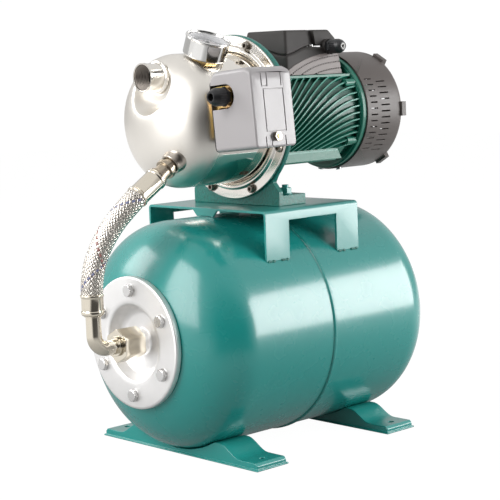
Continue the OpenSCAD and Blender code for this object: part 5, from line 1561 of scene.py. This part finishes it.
@dataclass
class Gauge:
    """Pressure gauge with its dial, needle and window."""

    bench: Bench
    ring: Repeater
    tilt: float = 22.5
    x: float = -93.0
    seat: float = 80.0
    radius: float = 26.5
    height: float = 23.0
    face: float = 14.0
    start: float = -135.0
    sweep: float = 270.0
    scale_r: float = 20.5
    number_r: float = 15.9
    inner_r: float = 14.0
    print_depth: float = 0.06

    @property
    def axis(self) -> Vector:
        """Direction that the dial faces."""
        a = math.radians(self.tilt)
        return Vector((0, -math.sin(a), math.cos(a)))

    def at(self, height: float) -> Matrix:
        """Matrix that lays a piece drawn along +X on the gauge's axis, its +Z towards the pump's front."""
        point = Vector((self.x, 0, SHAFT_Z)) + self.axis * (self.seat + height)
        return aimed(point, self.axis, (1, 0, 0))

    def case(self) -> None:
        """Turned case with its bezel and stem, the collar under it and the ring inside it."""
        r, h, foot = self.radius, self.height, self.at(0.0)
        corners = [(0.0, 0.0), (0.0, r - 2.0), (1.0, r - 0.9), (h - 3.0, r - 0.9), (h - 2.4, r), (h - 0.8, r),
                   (h, r - 1.2), (h, r - 2.2), (h - 3.0, r - 3.0), (h - 10.0, r - 3.0), (h - 10.0, 0.0)]
        stem = rounded([(-7.0, 0.0), (-7.0, 5.0), (1.0, 5.0), (1.0, 0.0)], 0.4, 2, False)
        parts = (Draft().lathe(rounded(corners, 1.0, 3, False), loop=False, sides=128),
                 Draft().lathe(stem, loop=False, sides=48), bolt_head(7.0, 1.8))
        mesh = joined("gauge_case", [part.moved(foot).mesh("case") for part in parts])
        collar = bolt_head(15.0, 6.0).moved(self.at(-0.05))
        self.bench.add("gauge_collar", collar.mesh("collar"), Finishes.brass, crease=25)
        self.bench.add("gauge_case_turned", mesh, Finishes.gauge, stands_for="gauge_case", crease=40)
        lining = [(h - 8.8, r - 3.1), (h - 3.2, r - 3.1), (h - 3.2, r - 4.0), (h - 8.8, r - 4.0)]
        self.bench.turned("gauge_lining", rounded(lining, 0.2, 2), Finishes.dial, place=foot, crease=40)

    def ticks(self, finish: Finish, count: int, length: float, width: float, reach: float) -> Mesh:
        """Ticks over the whole sweep of the dial, from their outer radius inwards."""
        tick = Draft().block((0.0, -width / 2, -length), (self.print_depth, width / 2, 0.0)).mesh("tick")
        return self.ring.mesh("ticks", tick, finish, count, reach, self.start, self.sweep / (count - 1))

    def dial(self) -> None:
        """Plain printed dial: a scale of ticks, an inner scale and numbers."""
        place, out = self.at(self.face), self.scale_r
        self.bench.finished(gauge_dial=Finishes.dial)
        scale = [self.ticks(Finishes.ink, 11, 3.2, 0.5, out), self.ticks(Finishes.ink, 51, 1.7, 0.22, out)]
        rim = [(0.0, out), (self.print_depth, out), (self.print_depth, out + 0.4), (0.0, out + 0.4)]
        scale.append(Draft().lathe(rim, sides=96).mesh("rim"))
        self.bench.add("gauge_scale", turned_mesh(joined("scale", scale), place), Finishes.ink)
        inner = self.ticks(Finishes.red_ink, 29, 1.4, 0.5, self.inner_r)
        self.bench.add("gauge_inner_scale", turned_mesh(inner, place), Finishes.red_ink)
        self.numbers()

    def numbers(self) -> None:
        """Numbers 0 to 10 by twos round the scale."""
        upright = Matrix(((0, 0, 1, 0), (-1, 0, 0, 0), (0, 1, 0, 0), (0, 0, 0, 1)))
        meshes = []
        for i in range(6):
            text = bpy.data.curves.new("number", "FONT")
            text.body = str(2 * i)
            text.size = 4.2 * MM
            text.align_x = text.align_y = "CENTER"
            text.extrude = 0.03 * MM
            mesh = final_mesh(placed("number", text))
            angle = math.radians(self.start + self.sweep / 5 * i)
            spot = Vector((math.sin(angle), math.cos(angle), 0)) * self.number_r * MM
            mesh.transform(upright @ Matrix.Translation(spot))
            meshes.append(mesh)
        place = self.at(self.face + 0.03)
        self.bench.add("gauge_numbers", turned_mesh(joined("numbers", meshes), place), Finishes.ink)

    def build(self) -> None:
        """Builds the gauge."""
        self.case()
        self.dial()
        self.bench.softened("gauge_needle", Finishes.black, 0.15)
        self.bench.softened("gauge_glass", Finishes.glass, 0.3)


# STUDIO


@dataclass
class Studio:
    """Camera, lamps, floor and background."""

    eye: Point = (-1262.19, -1336.88, 453.06)
    turn: Point = (83.0244, 2.0942, -43.6132)
    lens: float = 108.63
    shift: Pair = (-0.003728, -0.001302)
    target: Point = (0.0, 0.0, 0.28)
    dim: Point = (-0.375, -0.925, 0.05)  # way of the dark side, whose edge dim_cone gives as cosines
    dim_cone: Pair = (0.66, 0.86)
    floor_half: float = 6.0
    lamps: tuple[tuple[str, Point, Pair, float], ...] = (
        ("right_box", (1.68, -1.58, 0.64), (1.45, 1.25), 48.0),
        ("left_box", (-1.84, 0.16, 1.10), (1.15, 1.8), 34.0),
        ("back_box", (-1.20, 1.62, 1.15), (0.8, 0.9), 11.0))

    def camera(self) -> None:
        """Camera where the photograph was taken from."""
        data = bpy.data.cameras.new("camera")
        data.lens = self.lens
        data.sensor_width = 36.0
        data.shift_x, data.shift_y = self.shift
        data.clip_start = 0.05
        made = placed("camera", data)
        made.location = [c * MM for c in self.eye]
        made.rotation_euler = [math.radians(a) for a in self.turn]
        bpy.context.scene.camera = made

    def light(self) -> None:
        """Softboxes aimed at the pump set."""
        for name, spot, size, power in self.lamps:
            data = bpy.data.lights.new(name, "AREA")
            data.shape = "RECTANGLE"
            data.size, data.size_y = size
            data.energy = power
            made = placed(name, data)
            made.location = spot
            made.rotation_euler = (Vector(self.target) - Vector(spot)).to_track_quat("-Z", "Y").to_euler()

    def world(self) -> None:
        """White background for the camera and clear rays; softer light, darker one way, for the rest."""
        world = bpy.data.worlds.new("studio")
        bpy.context.scene.world = world
        world.use_nodes = True
        graph = Graph(world.node_tree)
        seen = graph.rays("Camera").math("MAXIMUM", graph.rays("Transmission"))
        way = graph.socket("ShaderNodeTexCoord", output="Generated")
        ahead = graph.number("ShaderNodeVectorMath", {0: way, 1: self.dim}, "Value", operation="DOT_PRODUCT")
        high = graph.axis(2, "Generated").between(0.15, 0.6)
        plain = 0.26 + graph.rays("Glossy") * (0.28 + high * 0.34 - ahead.between(*self.dim_cone) * 0.54)
        back = world.node_tree.nodes["Background"].inputs
        graph.feed(back["Color"], (1.0, 1.0, 1.0))
        graph.feed(back["Strength"], plain.math("MAXIMUM", seen * 1.02))

    def floor(self) -> None:
        """Pale floor that keeps a faint shadow and reflects the same dark side as the background."""
        mesh = bpy.data.meshes.new("floor")
        size = self.floor_half
        corners = [(-size, -size, 0), (size, -size, 0), (size, size, 0), (-size, size, 0)]
        mesh.from_pydata(corners, [], [(0, 1, 2, 3)])
        made = placed("floor", mesh)
        material = bpy.data.materials.new("floor")
        material.use_nodes = True
        graph = Graph(material.node_tree)
        x, y, shiny = graph.axis(0), graph.axis(1), graph.rays("Glossy")
        reach = (x * x + y * y).power(0.5).math("MAXIMUM", 0.01)
        ahead = (x * self.dim[0] + y * self.dim[1]).math("DIVIDE", reach)
        dim = ahead.between(*self.dim_cone) * reach.between(0.45, 0.9)
        matt = graph.socket("ShaderNodeBsdfDiffuse", {"Color": (0.34, 0.34, 0.34)})
        white, black = (graph.socket("ShaderNodeEmission", {"Color": (1, 1, 1), "Strength": strength})
                        for strength in (1.2, 0.04))
        share = (graph.rays("Camera") * 0.82).math("MAXIMUM", shiny * (0.1 + reach.between(0.2, 0.8) * 0.7))
        lit = graph.socket("ShaderNodeMixShader", {0: share, 1: matt, 2: white})
        mixed = graph.socket("ShaderNodeMixShader", {0: shiny * dim * 0.95, 1: lit, 2: black})
        graph.feed(material.node_tree.nodes["Material Output"].inputs["Surface"], mixed)
        mesh.materials.append(material)

    def build(self) -> None:
        """Sets up all but the camera."""
        self.light()
        self.world()
        self.floor()
        bpy.context.scene.view_settings.view_transform = "Standard"


def main() -> None:
    """Builds the camera and the hose line first, then each other sub-assembly, then the studio."""
    logging.basicConfig(level=logging.INFO, format="%(name)s: %(message)s")
    bench = Bench()
    ring = Repeater(line=False)
    row = Repeater(line=True)
    studio = Studio()
    studio.camera()
    HoseLine(bench).build()
    Tank(bench, ring).build()
    Platform(bench, row).build()
    PumpEnd(bench, ring).build()
    Motor(bench).build()
    TerminalBox(bench).build()
    Switch(bench).build()
    Gauge(bench, ring).build()
    studio.build()
    LOG.info("%d pieces added", bench.count)


if __name__ == "__main__":
    main()
